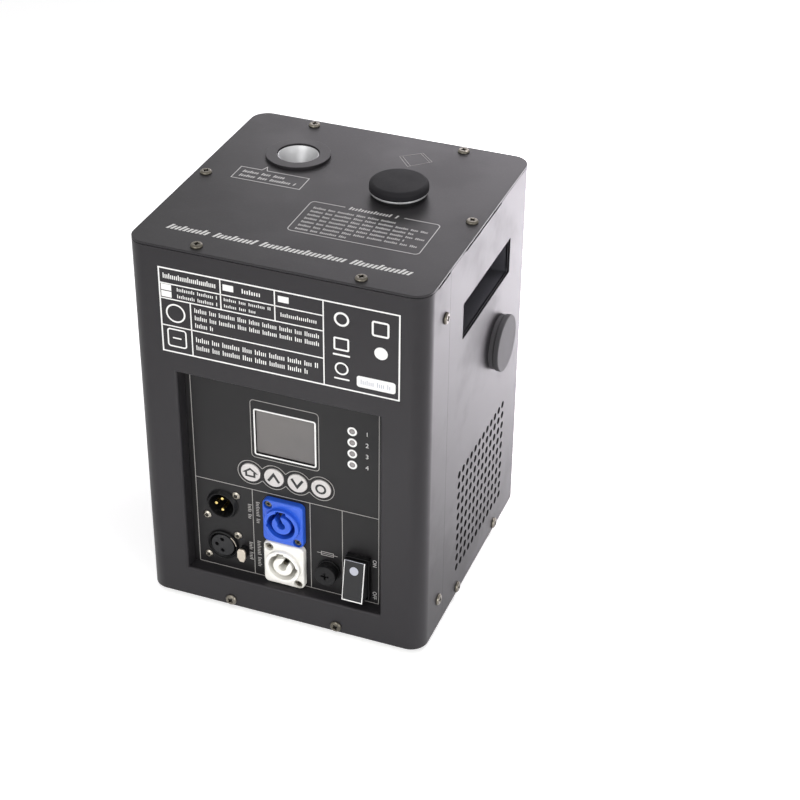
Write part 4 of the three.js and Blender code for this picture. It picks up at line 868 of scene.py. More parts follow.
def rear_cover():
    inner = SIDE - SHEET - 0.15
    seam = SEAM + SEAM_GAP
    right_half = [
        (inner, seam - FLANGE), (inner, seam - 2 * SHEET, SHEET), (SIDE, seam - 0.2, SHEET),
        (SIDE, BACK, EDGE_RADIUS),
    ]
    left_half = [(-x, *rest) for x, *rest in reversed(right_half)]
    path = filleted(right_half + left_half, closed=False, steps=10)
    length = path_length(path)
    right = tuple(distance_along(path, SIDE, y) for y in SIDE_SLIT)
    outline = notched(length, SHELL_LOW, SHELL_TOP, [right, (length - right[1], length - right[0])])
    grip_y = (GRIP_Y - GRIP_LENGTH / 2, GRIP_Y + GRIP_LENGTH / 2)
    grip = tuple(distance_along(path, SIDE, y) for y in grip_y)
    low, high = GRIP_Z - GRIP_HEIGHT / 2, GRIP_Z + GRIP_HEIGHT / 2
    openings = [
        rectangle(grip[0], grip[1], low, high, 1.2, 3),
        rectangle(length - grip[1], length - grip[0], low, high, 1.2, 3),
        disc(PLUG_HOLE, distance_along(path, SIDE, PLUG.y), PLUG.z, 48),
    ]
    vents = (distance_along(path, SIDE, VENT_Y), VENT_LOW + VENT_PITCH_Z * (VENT_ROWS - 1) / 2)
    bm = folded(flat_sheet([outline, *openings], vents), path)
    thickened(bm, Vector((0, 1, 0)), "rear_cover", ["rear_shell"])


def top_cover():
    loops = [
        rectangle(-SIDE, SIDE, FRONT, BACK, EDGE_RADIUS, 10),
        disc(OUTLET_HOLE, SPARK.x, SPARK.y, 64),
        disc(FILLER_HOLE, FILL.x, FILL.y, 64),
    ]
    cover = plate(loops, PLATE_LOW, TOP, 0.28)
    finished("top_cover", cover, "powder coat", stands_for=["top_plate"])


front_cover()
rear_cover()
top_cover()


# Grips

def grip_pocket():
    half, rise = GRIP_LENGTH / 2, GRIP_HEIGHT / 2
    outer = rectangle(-half - 1.5, half + 1.5, -rise - 1.5, rise + 1.5, 3)
    inner = rectangle(-half, half, -rise, rise, 2)
    wall = plate([outer, inner], -GRIP_DEPTH, -SHEET - 0.2, 0.3)
    floor = plate([outer], -GRIP_DEPTH - 1.5, -GRIP_DEPTH + 0.01, 0.3)
    lip_line = rectangle(-half - 3, half + 3, -rise - 3, rise + 3, 4)
    lip = plate([lip_line, inner], -SHEET - 1.6, -SHEET - 0.2, 0.2)
    return joined(wall, floor, lip)


for side, plane, across in (("right", ON_RIGHT, GRIP_Y), ("left", ON_LEFT, -GRIP_Y)):
    place = at(plane, across, GRIP_Z)
    stands_for = ["grip_pocket_" + side]
    finished(side + "_grip_pocket", grip_pocket(), "pocket plastic", place, stands_for=stands_for)


# Outlet and filler on the top

RING_RADIUS = half_span("outlet_ring").x
RING_HEIGHT = corners("outlet_ring")[1].z - TOP
RING_BORE = 13.1
RING_SLEEVE = 15.7
RING_SLEEVE_LOW = -12
RING_THROAT = 14.3
NOZZLE_HIGH = corners("nozzle_tube")[1].z - TOP
NOZZLE_LOW = corners("nozzle_tube")[0].z - TOP
NOZZLE_MOUTH = 12.8
NOZZLE_BODY = 8
NOZZLE_THROAT = 5
NOZZLE_FLANGE = 14
FLANGE_HIGH = NOZZLE_LOW + 4

ring = lathe([
    (RING_BORE, RING_HEIGHT, 0.3), (RING_RADIUS, RING_HEIGHT, 0.3), (RING_RADIUS, 0), (RING_SLEEVE, 0),
    (RING_SLEEVE, RING_SLEEVE_LOW, 0.3), (RING_THROAT, RING_SLEEVE_LOW), (RING_THROAT, -1.5),
    (RING_BORE, -1.2),
], 96)
finished("outlet_collar", ring, "powder coat", on_top(SPARK), stands_for=["outlet_ring"])
nozzle = lathe([
    (NOZZLE_MOUTH - 0.6, NOZZLE_HIGH, 0.25), (NOZZLE_MOUTH, NOZZLE_HIGH, 0.25), (NOZZLE_MOUTH, -2, 0.5),
    (NOZZLE_BODY, -19), (NOZZLE_BODY, FLANGE_HIGH), (NOZZLE_FLANGE, FLANGE_HIGH, 0.3),
    (NOZZLE_FLANGE, NOZZLE_LOW, 0.3), (NOZZLE_THROAT, NOZZLE_LOW, 0.3), (NOZZLE_THROAT, -11.8, 2),
], 96)
finished("nozzle_mouth", nozzle, "satin steel", on_top(SPARK), stands_for=["nozzle_tube"])

CAP_RADIUS = half_span("filler_cap").x
CAP_HIGH = corners("filler_cap")[1].z - TOP
CAP_ROUND = 3
STOPPER_RADIUS = 12.7
STOPPER_BORE = 10.8
STOPPER_LOW = -2.7
NECK_HIGH = corners("filler_neck")[1].z - TOP
NECK_BORE = 13
NECK_FLANGE = 17
NECK_STEP = 2
NECK_SLEEVE = 15
NECK_LOW = -14
LIP_RADIUS = half_span("filler_neck").x

collar = lathe([
    (NECK_BORE, NECK_STEP, 0.2), (NECK_FLANGE, NECK_STEP, 0.4), (NECK_FLANGE, 0), (NECK_SLEEVE, 0),
    (NECK_SLEEVE, NECK_LOW, 0.4), (NECK_BORE, NECK_LOW, 0.4),
], 96)
finished("filler_collar", collar, "black plastic", on_top(FILL), stands_for=["filler_neck"])
lip = lathe([
    (NECK_BORE, NECK_HIGH, 0.2), (LIP_RADIUS, NECK_HIGH, 0.5), (LIP_RADIUS, NECK_STEP, 0.3),
    (NECK_BORE, NECK_STEP),
], 96)
finished("filler_lip", lip, "satin steel", on_top(FILL), stands_for=["filler_neck"])
cap = lathe([
    (0, CAP_HIGH), (CAP_RADIUS, CAP_HIGH - 0.3, CAP_ROUND), (CAP_RADIUS, NECK_HIGH + 0.3, 0.4),
    (STOPPER_RADIUS, NECK_HIGH + 0.3), (STOPPER_RADIUS, STOPPER_LOW, 0.8), (STOPPER_BORE, STOPPER_LOW, 0.8),
    (STOPPER_BORE, 5.2, 0.5), (0, 5.2),
], 96)
finished("filler_stopper", cap, "rubber", on_top(FILL), "cap", ["filler_cap"])


# Side plug

PLUG_RADIUS = half_span("side_plug").z
PLUG_PROUD = corners("side_plug")[1].x - SIDE
PLUG_STEP = 2.7
PLUG_BASE = 17.5
PLUG_GROOVE = 17
PLUG_STEM = 14.6
PLUG_HOLLOW = 12.6
PLUG_LOW = -7

plug = lathe([
    (0, PLUG_PROUD), (PLUG_RADIUS, PLUG_PROUD, 0.7), (PLUG_RADIUS, PLUG_STEP + 0.4, 0.35),
    (PLUG_GROOVE, PLUG_STEP + 0.4, 0.1), (PLUG_GROOVE, PLUG_STEP, 0.1), (PLUG_BASE, PLUG_STEP, 0.4),
    (PLUG_BASE, CLEAR), (PLUG_STEM, CLEAR), (PLUG_STEM, PLUG_LOW, 0.6), (PLUG_HOLLOW, PLUG_LOW, 0.6),
    (PLUG_HOLLOW, PLUG_STEP, 0.5), (0, PLUG_STEP),
], 96)
finished("side_stopper", plug, "worn rubber", at(ON_RIGHT, PLUG.y, PLUG.z), "plug", ["side_plug"])


# Panel

PANEL_MARGIN = 6
WINDOW_HALF = (38.2 / 2, 31.3 / 2)
DATA_BODY = 9.2
POWER_BOSS = 11.6
FUSE_BODY = 6.1
BUTTON_RADIUS = 6.4
LENS_RADIUS = 1.6
LATCH_ARM = Vector((1.9, 0, 3.6))


def control_plate():
    x, low, high = RECESS_SIDE + PANEL_MARGIN, RECESS_LOW - PANEL_MARGIN, RECESS_TOP + PANEL_MARGIN
    loops = [rectangle(-x, x, low, high, 2), disc(FUSE_BODY + 0.1, FUSE.x, FUSE.z)]
    for spot, half, room, radius in (
        (SCREEN, half_span("display_lens"), 0.3, 1.2),
        (SWITCH, half_span("switch_housing"), -0.1, 0.5),
        (LATCH, LATCH_ARM, 0.25, 0.8),
    ):
        loops.append(rectangle(spot.x - half.x - room, spot.x + half.x + room,
                               spot.z - half.z - room, spot.z + half.z + room, radius))
    loops += [disc(BUTTON_RADIUS + 0.3, spot.x, spot.z) for spot in BUTTONS.values()]
    loops += [disc(LENS_RADIUS + 0.15, LIGHTS_X, z, 24) for z in LIGHTS_Z]
    loops += [disc(DATA_BODY + 0.2, spot.x, spot.z) for spot in (DATA_IN, DATA_OUT)]
    loops += [disc(POWER_BOSS, spot.x, spot.z) for spot in (POWER_IN, POWER_OUT)]
    return plate(loops, -1.5, 0, 0.12, 1)


finished("control_plate", control_plate(), "panel film", ON_PANEL, stands_for=["control_panel"])

across, up = WINDOW_HALF[0] - 0.3, WINDOW_HALF[1] - 0.6
screen = plate([rectangle(-across, across, -up, up, 1.0)], -1.5, -0.9, 0.1)
finished("display_window", screen, "display", on_panel(SCREEN), stands_for=["display_lens"])


# Data sockets

DATA_RIM = half_span("data_in_housing").x
DATA_PROUD = PANEL - corners("data_in_housing")[0].y
DATA_BORE = 8.2
DATA_BODY_LOW = -22
PIN_FLOOR = -13
PIN_CIRCLE = 4.15
INSERT_RADIUS = 7.8
LATCH_PROUD = PANEL - corners("data_out_latch")[0].y
LATCH_HALF = half_span("data_out_latch")

inlet = lathe([
    (0, PIN_FLOOR), (DATA_BORE, PIN_FLOOR, 0.3), (DATA_BORE, DATA_PROUD, 0.3), (8.9, DATA_PROUD, 0.4),
    (10.1, 0.6, 0.3), (DATA_RIM, 0.6, 0.15), (DATA_RIM, CLEAR), (DATA_BODY, CLEAR),
    (DATA_BODY, DATA_BODY_LOW, 0.4), (0, DATA_BODY_LOW),
], 80)
finished("data_inlet", inlet, "black plastic", on_panel(DATA_IN), stands_for=["data_in_housing"])
pin = lathe([(0, 0.9), (1.1, 0.9, 0.75), (1.1, PIN_FLOOR), (0, PIN_FLOOR)], 24)
pins = joined(*(moved(pin, Matrix.Translation((PIN_CIRCLE * math.cos(a), PIN_CIRCLE * math.sin(a), 0)))
                for a in (math.radians(90), math.radians(180), math.radians(270))))
finished("inlet_pins", pins, "gold", on_panel(DATA_IN), stands_for=["data_in_pins"])

outlet = lathe([
    (0, -6), (8.8, -6), (8.8, 0.4), (9.3, 0.8), (9.3, 2.2, 0.35), (DATA_RIM, 1.4, 0.5), (DATA_RIM, CLEAR),
    (DATA_BODY, CLEAR), (DATA_BODY, DATA_BODY_LOW, 0.4), (0, DATA_BODY_LOW),
], 80)
finished("data_outlet", outlet, "black plastic", on_panel(DATA_OUT), stands_for=["data_out_housing"])
holes = [disc(1.3, *spot, 24) for spot in ((-0.4, PIN_CIRCLE), (-PIN_CIRCLE, 0), (-0.4, -PIN_CIRCLE))]
insert = plate([disc(INSERT_RADIUS, steps=64), *holes], -5.9, 1.4, 0.35)
finished("outlet_insert", insert, "dark insert", on_panel(DATA_OUT), stands_for=["data_out_housing"])

# The latch is a thin plate on a narrow arm that goes through the panel.
wide, tall = LATCH_HALF.x - 0.3, LATCH_HALF.z - 0.4
tab_line = filleted([
    (-wide, -tall + 2.9, 0.8), (-wide + 1.8, -tall, 0.8), (wide - 1.2, -tall, 0.8), (wide, -tall + 3, 0.8),
    (wide, tall - 2.4, 0.8), (wide - 0.9, tall, 0.8), (-wide + 1.1, tall, 0.8), (-wide, tall - 2.2, 0.8),
])
tab = plate([tab_line], LATCH_PROUD - 1.6, LATCH_PROUD, 0.45, 3)
finished("latch_tab", tab, "nickel tab", on_panel(LATCH), "latch", ["data_out_latch"])
# The thin bright arc laid on the outlet's rim at its upper right is a painted highlight. It stands for light
# caught on the rim's edge and is no part of the socket.
PAINTED_GLINT_RADIUS = 9.75
painted_glint_angles = [math.radians(12 + 5 * k) for k in range(9)]
painted_glint_line = [(PAINTED_GLINT_RADIUS * math.cos(a), PAINTED_GLINT_RADIUS * math.sin(a)) for a in painted_glint_angles]
painted_glint = plate(band(painted_glint_line, 0.45), 1.2, 2.2, 0.1)
finished("outlet_catch", painted_glint, "nickel tab", on_panel(DATA_OUT))
arm_line = rectangle(-LATCH_ARM.x, LATCH_ARM.x, -LATCH_ARM.z, LATCH_ARM.z, 0.6)
arm = plate([arm_line], -4, LATCH_PROUD - 1.6, 0.2)
finished("latch_arm", arm, "black plastic", on_panel(LATCH), "latch", ["data_out_latch"])


# Power sockets

POWER_HALF = half_span("power_in_socket")
POWER_PROUD = PANEL - corners("power_in_socket")[0].y
POWER_FLANGE = 4.3
POWER_CORNER = 3.5
POWER_EDGE = 1.5
POWER_BODY = 11.4
POWER_LOW = -20
POWER_BORE = 9.2
POWER_BORE_LOW = -14
SLOT_LOW = -6
POWER_HUB = 6.3
POWER_HUB_HIGH = 6.3
POWER_SCREWS = ((-9.5, 12), (9.5, -12))
WELL_RADIUS = 2.9
WELL_LOW = 1.9


def power_socket(slot_turn, keyways):
    """keyways holds (angle, half width, reach) for each notch in the bore's edge."""
    wide, tall = POWER_HALF.x, POWER_HALF.z
    outline = rectangle(-wide, wide, -tall, tall, POWER_CORNER, 6)
    flange = plate([outline], -POWER_EDGE, POWER_FLANGE, POWER_EDGE, 4)
    hole = rod(POWER_BOSS - 0.05, -2, 6, 80)
    wells = [moved(rod(WELL_RADIUS, WELL_LOW, 6, 32), Matrix.Translation((x, y, 0))) for x, y in POWER_SCREWS]
    flange = carved(flange, bar(-20, 20, -20, 20, -5, CLEAR), hole, *wells)
    sleeve = lathe([
        (0, POWER_BORE_LOW), (POWER_BORE, POWER_BORE_LOW, 0.5), (POWER_BORE, POWER_PROUD, 0.3),
        (POWER_BOSS, POWER_PROUD, 0.5), (POWER_BOSS, CLEAR), (POWER_BODY, CLEAR),
        (POWER_BODY, POWER_LOW, 0.4), (0, POWER_LOW),
    ], 80)
    for angle, half, reach in keyways:
        sleeve = carved(sleeve, turned(bar(0, reach, -half, half, -6, 9), angle))
    hub = lathe([
        (0, POWER_BORE_LOW), (POWER_HUB, POWER_BORE_LOW), (POWER_HUB, POWER_HUB_HIGH, 0.5),
        (0, POWER_HUB_HIGH),
    ], 64)
    slot = turned(bar(0, 8, -1.9, 1.9, SLOT_LOW, 8), slot_turn)
    hub = carved(hub, slot, rod(2.6, SLOT_LOW, 8, 32))
    return joined(flange, softened(sleeve, 0.15), softened(hub, 0.2))


def power_contacts(slot_turn):
    """The blade in the hub's slot and the small square post at its middle. Their dark metal is partly painted
    shade: besides standing for the contacts, it darkens the deep slot.
    """
    blade = turned(bar(2.2, 5.9, -1.7, 1.7, SLOT_LOW, 0.5), slot_turn)
    post = bar(-1, 1, -1, 1, SLOT_LOW, 2)
    return softened(joined(blade, post), 0.2)


for name, spot, slot_turn, keyways, finish in (
    ("inlet", POWER_IN, 113, [(90, 3.4, 10.6), (190, 1.1, 9.9)], "blue plastic"),
    ("outlet", POWER_OUT, 60, [(98, 2.4, 10.3), (0, 1.6, 10.3)], "white plastic"),
):
    place = on_panel(spot)
    socket = "power_in_socket" if name == "inlet" else "power_out_socket"
    finished("power_" + name, power_socket(slot_turn, keyways), finish, place, stands_for=[socket])
    finished("power_" + name + "_contacts", power_contacts(slot_turn), "contact metal with painted shade", place)


# Fuse

FUSE_RIM = half_span("fuse_holder").x
KNOB_RADIUS = half_span("fuse_cap").x
KNOB_PROUD = PANEL - corners("fuse_cap")[0].y
KNOB_NECK = 4.9
FUSE_BORE = 5.4
FUSE_LOW = -30

rim = lathe([
    (0, FUSE_LOW + 1.5), (FUSE_BORE, FUSE_LOW + 1.5), (FUSE_BORE, 1.4, 0.2), (FUSE_RIM, 1.4, 0.5),
    (FUSE_RIM, CLEAR), (FUSE_BODY, CLEAR), (FUSE_BODY, FUSE_LOW, 0.4), (0, FUSE_LOW),
], 64)
finished("fuse_rim", rim, "black plastic", on_panel(FUSE), stands_for=["fuse_holder"])
knob = lathe([
    (0, KNOB_PROUD), (5.9, KNOB_PROUD), (KNOB_RADIUS, KNOB_PROUD - 0.3, 0.8), (KNOB_RADIUS, 1.7, 0.3),
    (KNOB_NECK, 1.7), (KNOB_NECK, -3, 0.3), (3.4, -3), (3.4, -0.5), (0, -0.5),
], 64)
arms = [bar(-half_x, half_x, -half_y, half_y, KNOB_PROUD - 2, KNOB_PROUD + 1)
        for half_x, half_y in ((0.65, 2.7), (2.7, 0.65))]
finished("fuse_knob_cap", softened(carved(knob, *arms), 0.12), "black plastic",
         on_panel(FUSE), "fuse_knob", ["fuse_cap"])


# Rocker switch

BEZEL_HALF = half_span("switch_housing")
BEZEL_PROUD = 4.2
CAVITY_LOW = -7
SWITCH_LOW = -18
SWITCH_BODY = (7.65, 15.2)
ROCKER_HALF = half_span("switch_rocker").x
ROCKER_FACE = 9.9
ROCKER_LENGTH = 14.4
cavity = rectangle(-ROCKER_HALF - 0.3, ROCKER_HALF + 0.3, -14.6, 14.6, 0.5)
body = rectangle(-SWITCH_BODY[0], SWITCH_BODY[0], -SWITCH_BODY[1], SWITCH_BODY[1], 0.6)

frame_line = rectangle(-BEZEL_HALF.x, BEZEL_HALF.x, -BEZEL_HALF.z, BEZEL_HALF.z, 1)
bezel = joined(
    plate([frame_line, cavity], CLEAR, BEZEL_PROUD, 0.24, 3),
    plate([body, cavity], CAVITY_LOW, CLEAR),
    plate([body], SWITCH_LOW, CAVITY_LOW, 0.3),
)
finished("switch_bezel", bezel, "black plastic", on_panel(SWITCH), stands_for=["switch_housing"])
side = filleted([
    (-ROCKER_LENGTH, ROCKER_FACE, 0.5), (-13, 7.6, 0.6), (-12.2, 0, 0.6), (-8.5, -4, 1),
    (8.5, -4, 1), (12.2, 0, 0.6), (13, 7.6, 0.6), (ROCKER_LENGTH, ROCKER_FACE, 0.5),
])
ROCKER = on_panel(SWITCH) @ Matrix.Rotation(-ROCKER_TILT, 4, "X")
on_edge = Matrix(((0, 0, 1), (1, 0, 0), (0, 1, 0))).to_4x4()
rocker = moved(plate([side], -ROCKER_HALF, ROCKER_HALF, 0.35), on_edge)
finished("rocker_key", rocker, "dark insert", ROCKER, "rocker", ["switch_rocker"])
ROCKER_PRINT = ROCKER @ Matrix.Translation((0, 0, ROCKER_FACE))
edge = ROCKER_HALF - 0.3
key_marks = printed(
    [rectangle(-edge, 0.4 - edge, -13.9, 13.8)], [rectangle(edge - 0.6, edge, -13.9, 13.8)],
    [rectangle(0.4 - edge, edge - 0.6, -13.9, -13.2)],
)
finished("rocker_marks", key_marks, "white ink", ROCKER_PRINT, "rocker")
top_mark = printed([rectangle(0.4 - edge, edge - 0.6, 13.5, 13.8)], [disc(2.8, 0, 7.1)])
finished("rocker_top_mark", top_mark, "cool ink", ROCKER_PRINT, "rocker")


# Buttons and status lights

BUTTON_HIGH = 0.72
BUTTON_FLANGE = 7.4
BUTTON_STEM = 2
button = lathe([
    (0, BUTTON_HIGH), (3.4, BUTTON_HIGH), (BUTTON_RADIUS, 0.55, 0.35), (BUTTON_RADIUS, -1.6),
    (BUTTON_FLANGE, -1.6), (BUTTON_FLANGE, -2.5, 0.2), (BUTTON_STEM, -2.5), (BUTTON_STEM, -5, 0.2), (0, -5),
], 64)
house = [(0, 2.9), (-3.4, 0.4), (-2.7, 0.4), (-2.7, -2.4), (2.7, -2.4), (2.7, 0.4), (3.4, 0.4)]
ICONS = {
    "home": [band(house, 1.35, True)],
    "up": [band([(-3.6, -2.8), (0, 2.6), (3.6, -2.8)], 1.7)],
    "down": [band([(-3.6, 2.8), (0, -2.6), (3.6, 2.8)], 1.7)],
    "enter": [[disc(3.6), disc(2.2)]],
}
for key, spot in BUTTONS.items():
    body = key + "_key"
    finished("button_" + key + "_cap", button.copy(), "pale plastic", on_panel(spot), body, ["button_" + key])
    mark_place = on_panel(spot, BUTTON_HIGH - 0.04)
    finished("button_" + key + "_mark", printed(*ICONS[key]), "black ink", mark_place, body)

lens = lathe([(0, 0.35), (0.8, 0.3), (LENS_RADIUS, 0.05, 0.2), (LENS_RADIUS, -1.4), (0, -1.4)], 32)
lenses = joined(*(moved(lens, Matrix.Translation((LIGHTS_X, z, 0))) for z in LIGHTS_Z))
bar_low, bar_high = corners("status_lights")
strip = plate([rectangle(bar_low.x, bar_high.x, bar_low.z, bar_high.z, 1)], PANEL - bar_high.y, -1.6, 0.2)
finished("status_lenses", joined(lenses, strip), "lens plastic", ON_PANEL, stands_for=["status_lights"])


# Prints

def frame_lines(x0, x1, y0, y1, width, radius=0):
    """A drawn frame between its outer edges."""
    inside = rectangle(x0 + width, x1 - width, y0 + width, y1 - width, max(radius - width, 0))
    return [rectangle(x0, x1, y0, y1, radius), inside]


def rule(x0, x1, y, width):
    return [rectangle(x0, x1, y - width / 2, y + width / 2, width * 0.45, 3)]


def upright(x, y0, y1, width):
    return [rectangle(x - width / 2, x + width / 2, y0, y1)]


def button_chain(radius, width):
    """One outline round all four buttons, drawn in at the gaps between them."""
    spots = sorted((spot.x, spot.z) for spot in BUTTONS.values())
    half = (spots[1][0] - spots[0][0]) / 2
    meet = math.acos(half / radius)
    upper, lower = [], []
    for i, (x, z) in enumerate(spots):
        start = math.pi if i == 0 else math.pi - meet
        end = 0 if i == len(spots) - 1 else meet
        for k in range(17):
            angle = start + (end - start) * k / 16
            upper.append((x + radius * math.cos(angle), z + radius * math.sin(angle)))
            lower.append((x + radius * math.cos(angle), z - radius * math.sin(angle)))
    line = upper + lower[::-1][1:-1]
    smooth = [Vector(p) for p in line]
    for _ in range(3):
        smooth = [(smooth[i - 1] + 2 * p + smooth[(i + 1) % len(smooth)]) / 4 for i, p in enumerate(smooth)]
    clean = [smooth[0]]
    for p in smooth[1:]:
        if (p - clean[-1]).length > 0.25:
            clean.append(p)
    return band([tuple(p) for p in clean], width, True)


FINE = 0.42
WORD_GAP = 1.2
panel_lines = printed(
    upright(-60.6, 21.3, 166, FINE), upright(60, 21.3, 166, FINE), rule(-60.8, 60.2, 21.5, FINE),
    rule(-60.6, 60, 86.3, FINE), upright(-22.7, 21.7, 86.1, FINE), upright(15.4, 21.7, 86.1, FINE),
    upright(36.4, 21.7, 86.1, FINE), frame_lines(-22.1, 22.1, 110.9, 152.3, FINE, 2.6),
    button_chain(8.65, FINE),
)
finished("panel_lines", panel_lines, "grey ink", ON_PANEL)


def strokes(x0, x1, y, height, pitch=1.15, lean=0.0, weight=0.45, words=(7, 4, 9, 5, 6, 8)):
    """Loops of short upright strokes in groups like words, which stand where small print would."""
    loops = []
    x, count, word = x0, 0, 0
    low, high = -height / 2, height / 2
    while x < x1 - pitch * weight:
        tall = count == 0 or (count * 7 + word * 3) % 5 == 1
        head = high if tall else high - 0.25 * height
        stroke = [(0, low), (pitch * weight, low), (pitch * weight, head), (0, head)]
        loops.append([(x + u + lean * v, y + v) for u, v in stroke])
        count += 1
        x += pitch
        if count == words[word % len(words)]:
            x += pitch * WORD_GAP
            count, word = 0, word + 1
    return loops


def print_block(lines, height, **values):
    """Several rows of strokes, each (x0, x1, y)."""
    return [loop for x0, x1, y in lines for loop in strokes(x0, x1, y, height, **values)]


def upended(loops, x, z):
    """Turns loops a quarter to the right, so that they read downwards from a point."""
    return [[(x + v, z - u) for u, v in loop] for loop in loops]


captions = [
    upended(strokes(0, length, 0, 2.5, 1.25, words=groups), x, z) for length, groups, x, z in (
        (16, (9, 4), -19.2, 77.5), (20, (9, 6), -19.2, 47.8),
        (11.5, (5, 4), -24.7, 74.5), (14, (5, 6), -24.7, 45.4),
    )
]
fuse_sign = [frame_lines(22.2, 30.6, 49.0, 52.0, 0.45), rule(19.6, 33.2, 50.5, 0.4)]
finished("panel_symbols", printed(*captions, *fuse_sign), "grey ink", ON_PANEL)
numbers = [(str(4 - i), 3.0, 52.5, z, 0) for i, z in enumerate(LIGHTS_Z)]
states = [("ON", 2.4, 57.3, 52, -90), ("OFF", 2.4, 57.3, 27.5, -90)]
words = joined(*(
    moved(turned(lettering(word, height), degrees), Matrix.Translation((x, z, 1.5 * INK)))
    for word, height, x, z, degrees in numbers + states
))
finished("panel_words", words, "pale ink", ON_PANEL)
bright_marks = printed(
    frame_lines(SCREEN.x - 20.1, SCREEN.x + 20.1, SCREEN.z - 16.6, SCREEN.z + 16.5, 1.0, 1.7),
    *([disc(3.0, LIGHTS_X, z), disc(1.8, LIGHTS_X, z)] for z in LIGHTS_Z),
)
finished("panel_bright_marks", bright_marks, "white ink", ON_PANEL)

BOLD = 0.75
table_rules = [
    frame_lines(-72, 76, 180, 236.4, 0.9),
    upright(30, 180.8, 235.6, BOLD), rule(-71.4, 29.8, 226, BOLD), rule(-71.4, 29.8, 216, BOLD),
    rule(-71.4, 29.8, 198, BOLD), upright(-33, 216.3, 235.6, BOLD), upright(0.5, 216.3, 235.6, BOLD),
    upright(-52.5, 180.8, 215.7, BOLD),
    [rectangle(-31.4, -24.8, 229, 233)], [rectangle(2.6, 9.2, 229, 233)],
    [rectangle(-70.6, -64.1, 217, 220.9)], [rectangle(-70.6, -64.1, 221.5, 225.4)],
]
plain_shapes = [
    [disc(6.2, -62.2, 207, 48), disc(5.2, -62.2, 207, 48)],
    frame_lines(-68.4, -56, 184, 196.4, 0.9, 2), rule(-65, -59.4, 190.2, 0.9),
    [disc(4.6, 41, 226, 48), disc(3.3, 41, 226, 48)], frame_lines(59, 69.5, 219.5, 229.5, 1.2, 1.6),
    frame_lines(36, 45.5, 205.5, 214, 1.1, 1), rule(35.5, 46, 202.6, 1.2),
    [disc(4.0, 64.6, 209, 48)], frame_lines(36.6, 45, 189.4, 197.8, 1, 4.2), rule(36.2, 45.6, 186.8, 1.0),
    [rectangle(50, 73.4, 184, 191.4, 1.6)],
]
small_print = [
    print_block([(-69, -35.5, 231)], 3.4, pitch=1.2, weight=0.52, words=(40,)),
    print_block([(-19.6, -7.5, 231)], 3.0, pitch=1.5, weight=0.5, words=(9,)),
    print_block([(-60.5, -35, 223.2), (-60.5, -35, 218.8)], 2.3, words=(10, 9)),
    print_block([(-31, -1.5, 223.2), (-31, -11, 219)], 2.0),
    print_block([(4, 26, 221)], 2.6, pitch=1.25, words=(20,)),
    print_block([(-50, 27.5, 211.8), (-50, 27.5, 206.8), (-50, -38, 201.8)], 3.0),
    print_block([(-50, 27.5, 192.2), (-50, 21, 186.8)], 3.3, pitch=1.25),
]
finished("label_table", printed(*table_rules), "white ink", ON_FRONT)
finished("label_shapes", printed(*plain_shapes), "white ink", ON_FRONT)
finished("label_print", printed(*small_print), "white ink", ON_FRONT)
pill_print = printed(strokes(52.4, 71.2, 187.7, 3.2, 1.2))
finished("label_pill_print", pill_print, "cool ink", at(ON_FRONT, 0, 0, INK))

THIN = 0.55
callout = [
    (-68.6, 0.4), (-68.6, 15.6), (-55, 15.6), (-53.5, 20.2), (-51.6, 15.6), (-23.9, 15.6), (-23.9, 0.4),
]
notice = filleted([
    (10, -10.3), (-11.1, -10.3, 2.8), (-11.1, -48.1, 2.8), (69.6, -48.1, 2.8), (69.6, -10.3, 2.8),
    (47, -10.3),
], closed=False)
packet = [(27.5, 73.6), (36.8, 64.4), (25, 52.9), (15.6, 64)]


def part_way(first, second, share):
    return tuple(Vector(first).lerp(Vector(second), share))


packet_ends = [
    band([part_way(packet[0], packet[3], share), part_way(packet[1], packet[2], share)], 0.3)
    for share in (0.1, 0.88)
]
finished("top_lines", printed(band(callout, THIN, True), band(notice, THIN)), "pale ink", ON_TOP)
finished("top_packet", printed(band(packet, 0.3, True), *packet_ends), "grey ink", ON_TOP)
title = strokes(-75, 75, -69, 5.6, 2.6, 0.4, 0.62, (10, 10, 20, 14))
finished("top_title", printed(title), "white ink", ON_TOP)
notice_lines = [(45, -17.5), (66, -22), (59, -26.5), (67, -31), (57, -35.5), (66, -40), (25, -44.4)]
top_print = [
    print_block([(-65, -38, 10.6), (-65, -27.5, 5.2)], 2.9, pitch=1.5, lean=0.2, weight=0.58),
    print_block([(13, 43, -10.4)], 3.6, pitch=1.9, lean=0.2, weight=0.58, words=(14, 6)),
    print_block([(-7, end, y) for end, y in notice_lines], 2.2, weight=0.55),
]
finished("top_print", printed(*top_print), "pale ink", ON_TOP)


# Screws and feet

SLOT_REACH = 0.5


def cross_screw(crown, bowl_radius):
    """A pan head of radius 1, flat out to its crown, with a cross recess and a bowl at its middle."""
    head = lathe([
        (0, 0.44), (crown, 0.43, 0.3), (1, 0.16, 0.1), (1, 0), (0.5, 0), (0.5, -0.6), (0, -0.6),
    ], 36)
    slot = bar(-0.13, 0.13, -SLOT_REACH, SLOT_REACH, 0, 1)
    bowl = lathe([(0, -0.2), (bowl_radius - 0.04, -0.2), (bowl_radius, 0.5), (0, 0.5)], 24)
    return softened(carved(head, slot, turned(slot, 90), bowl), 0.03, 40)


def turned_by(i):
    """A different turn for each screw, as a hand leaves them."""
    return math.radians((i * 67 + 11) % 90)


TOP_SCREWS = ["top_screw_%d" % i for i in range(1, 7)]
CASE_SCREW = half_span(TOP_SCREWS[0]).x
DATA_SCREW = 2.7
POWER_SCREW = 2.6
SIDE_SCREWS = ((-63, 222), (-64, 21), (-28, 4), (44.5, 4))
SCREW_SEAT = 0.01


def screw_places(spots, out, first_turn, size):
    """Each spot is (plane, across, up). The turns follow on from the first one."""
    return [(*spot, out, turned_by(i + first_turn), size) for i, spot in enumerate(spots)]


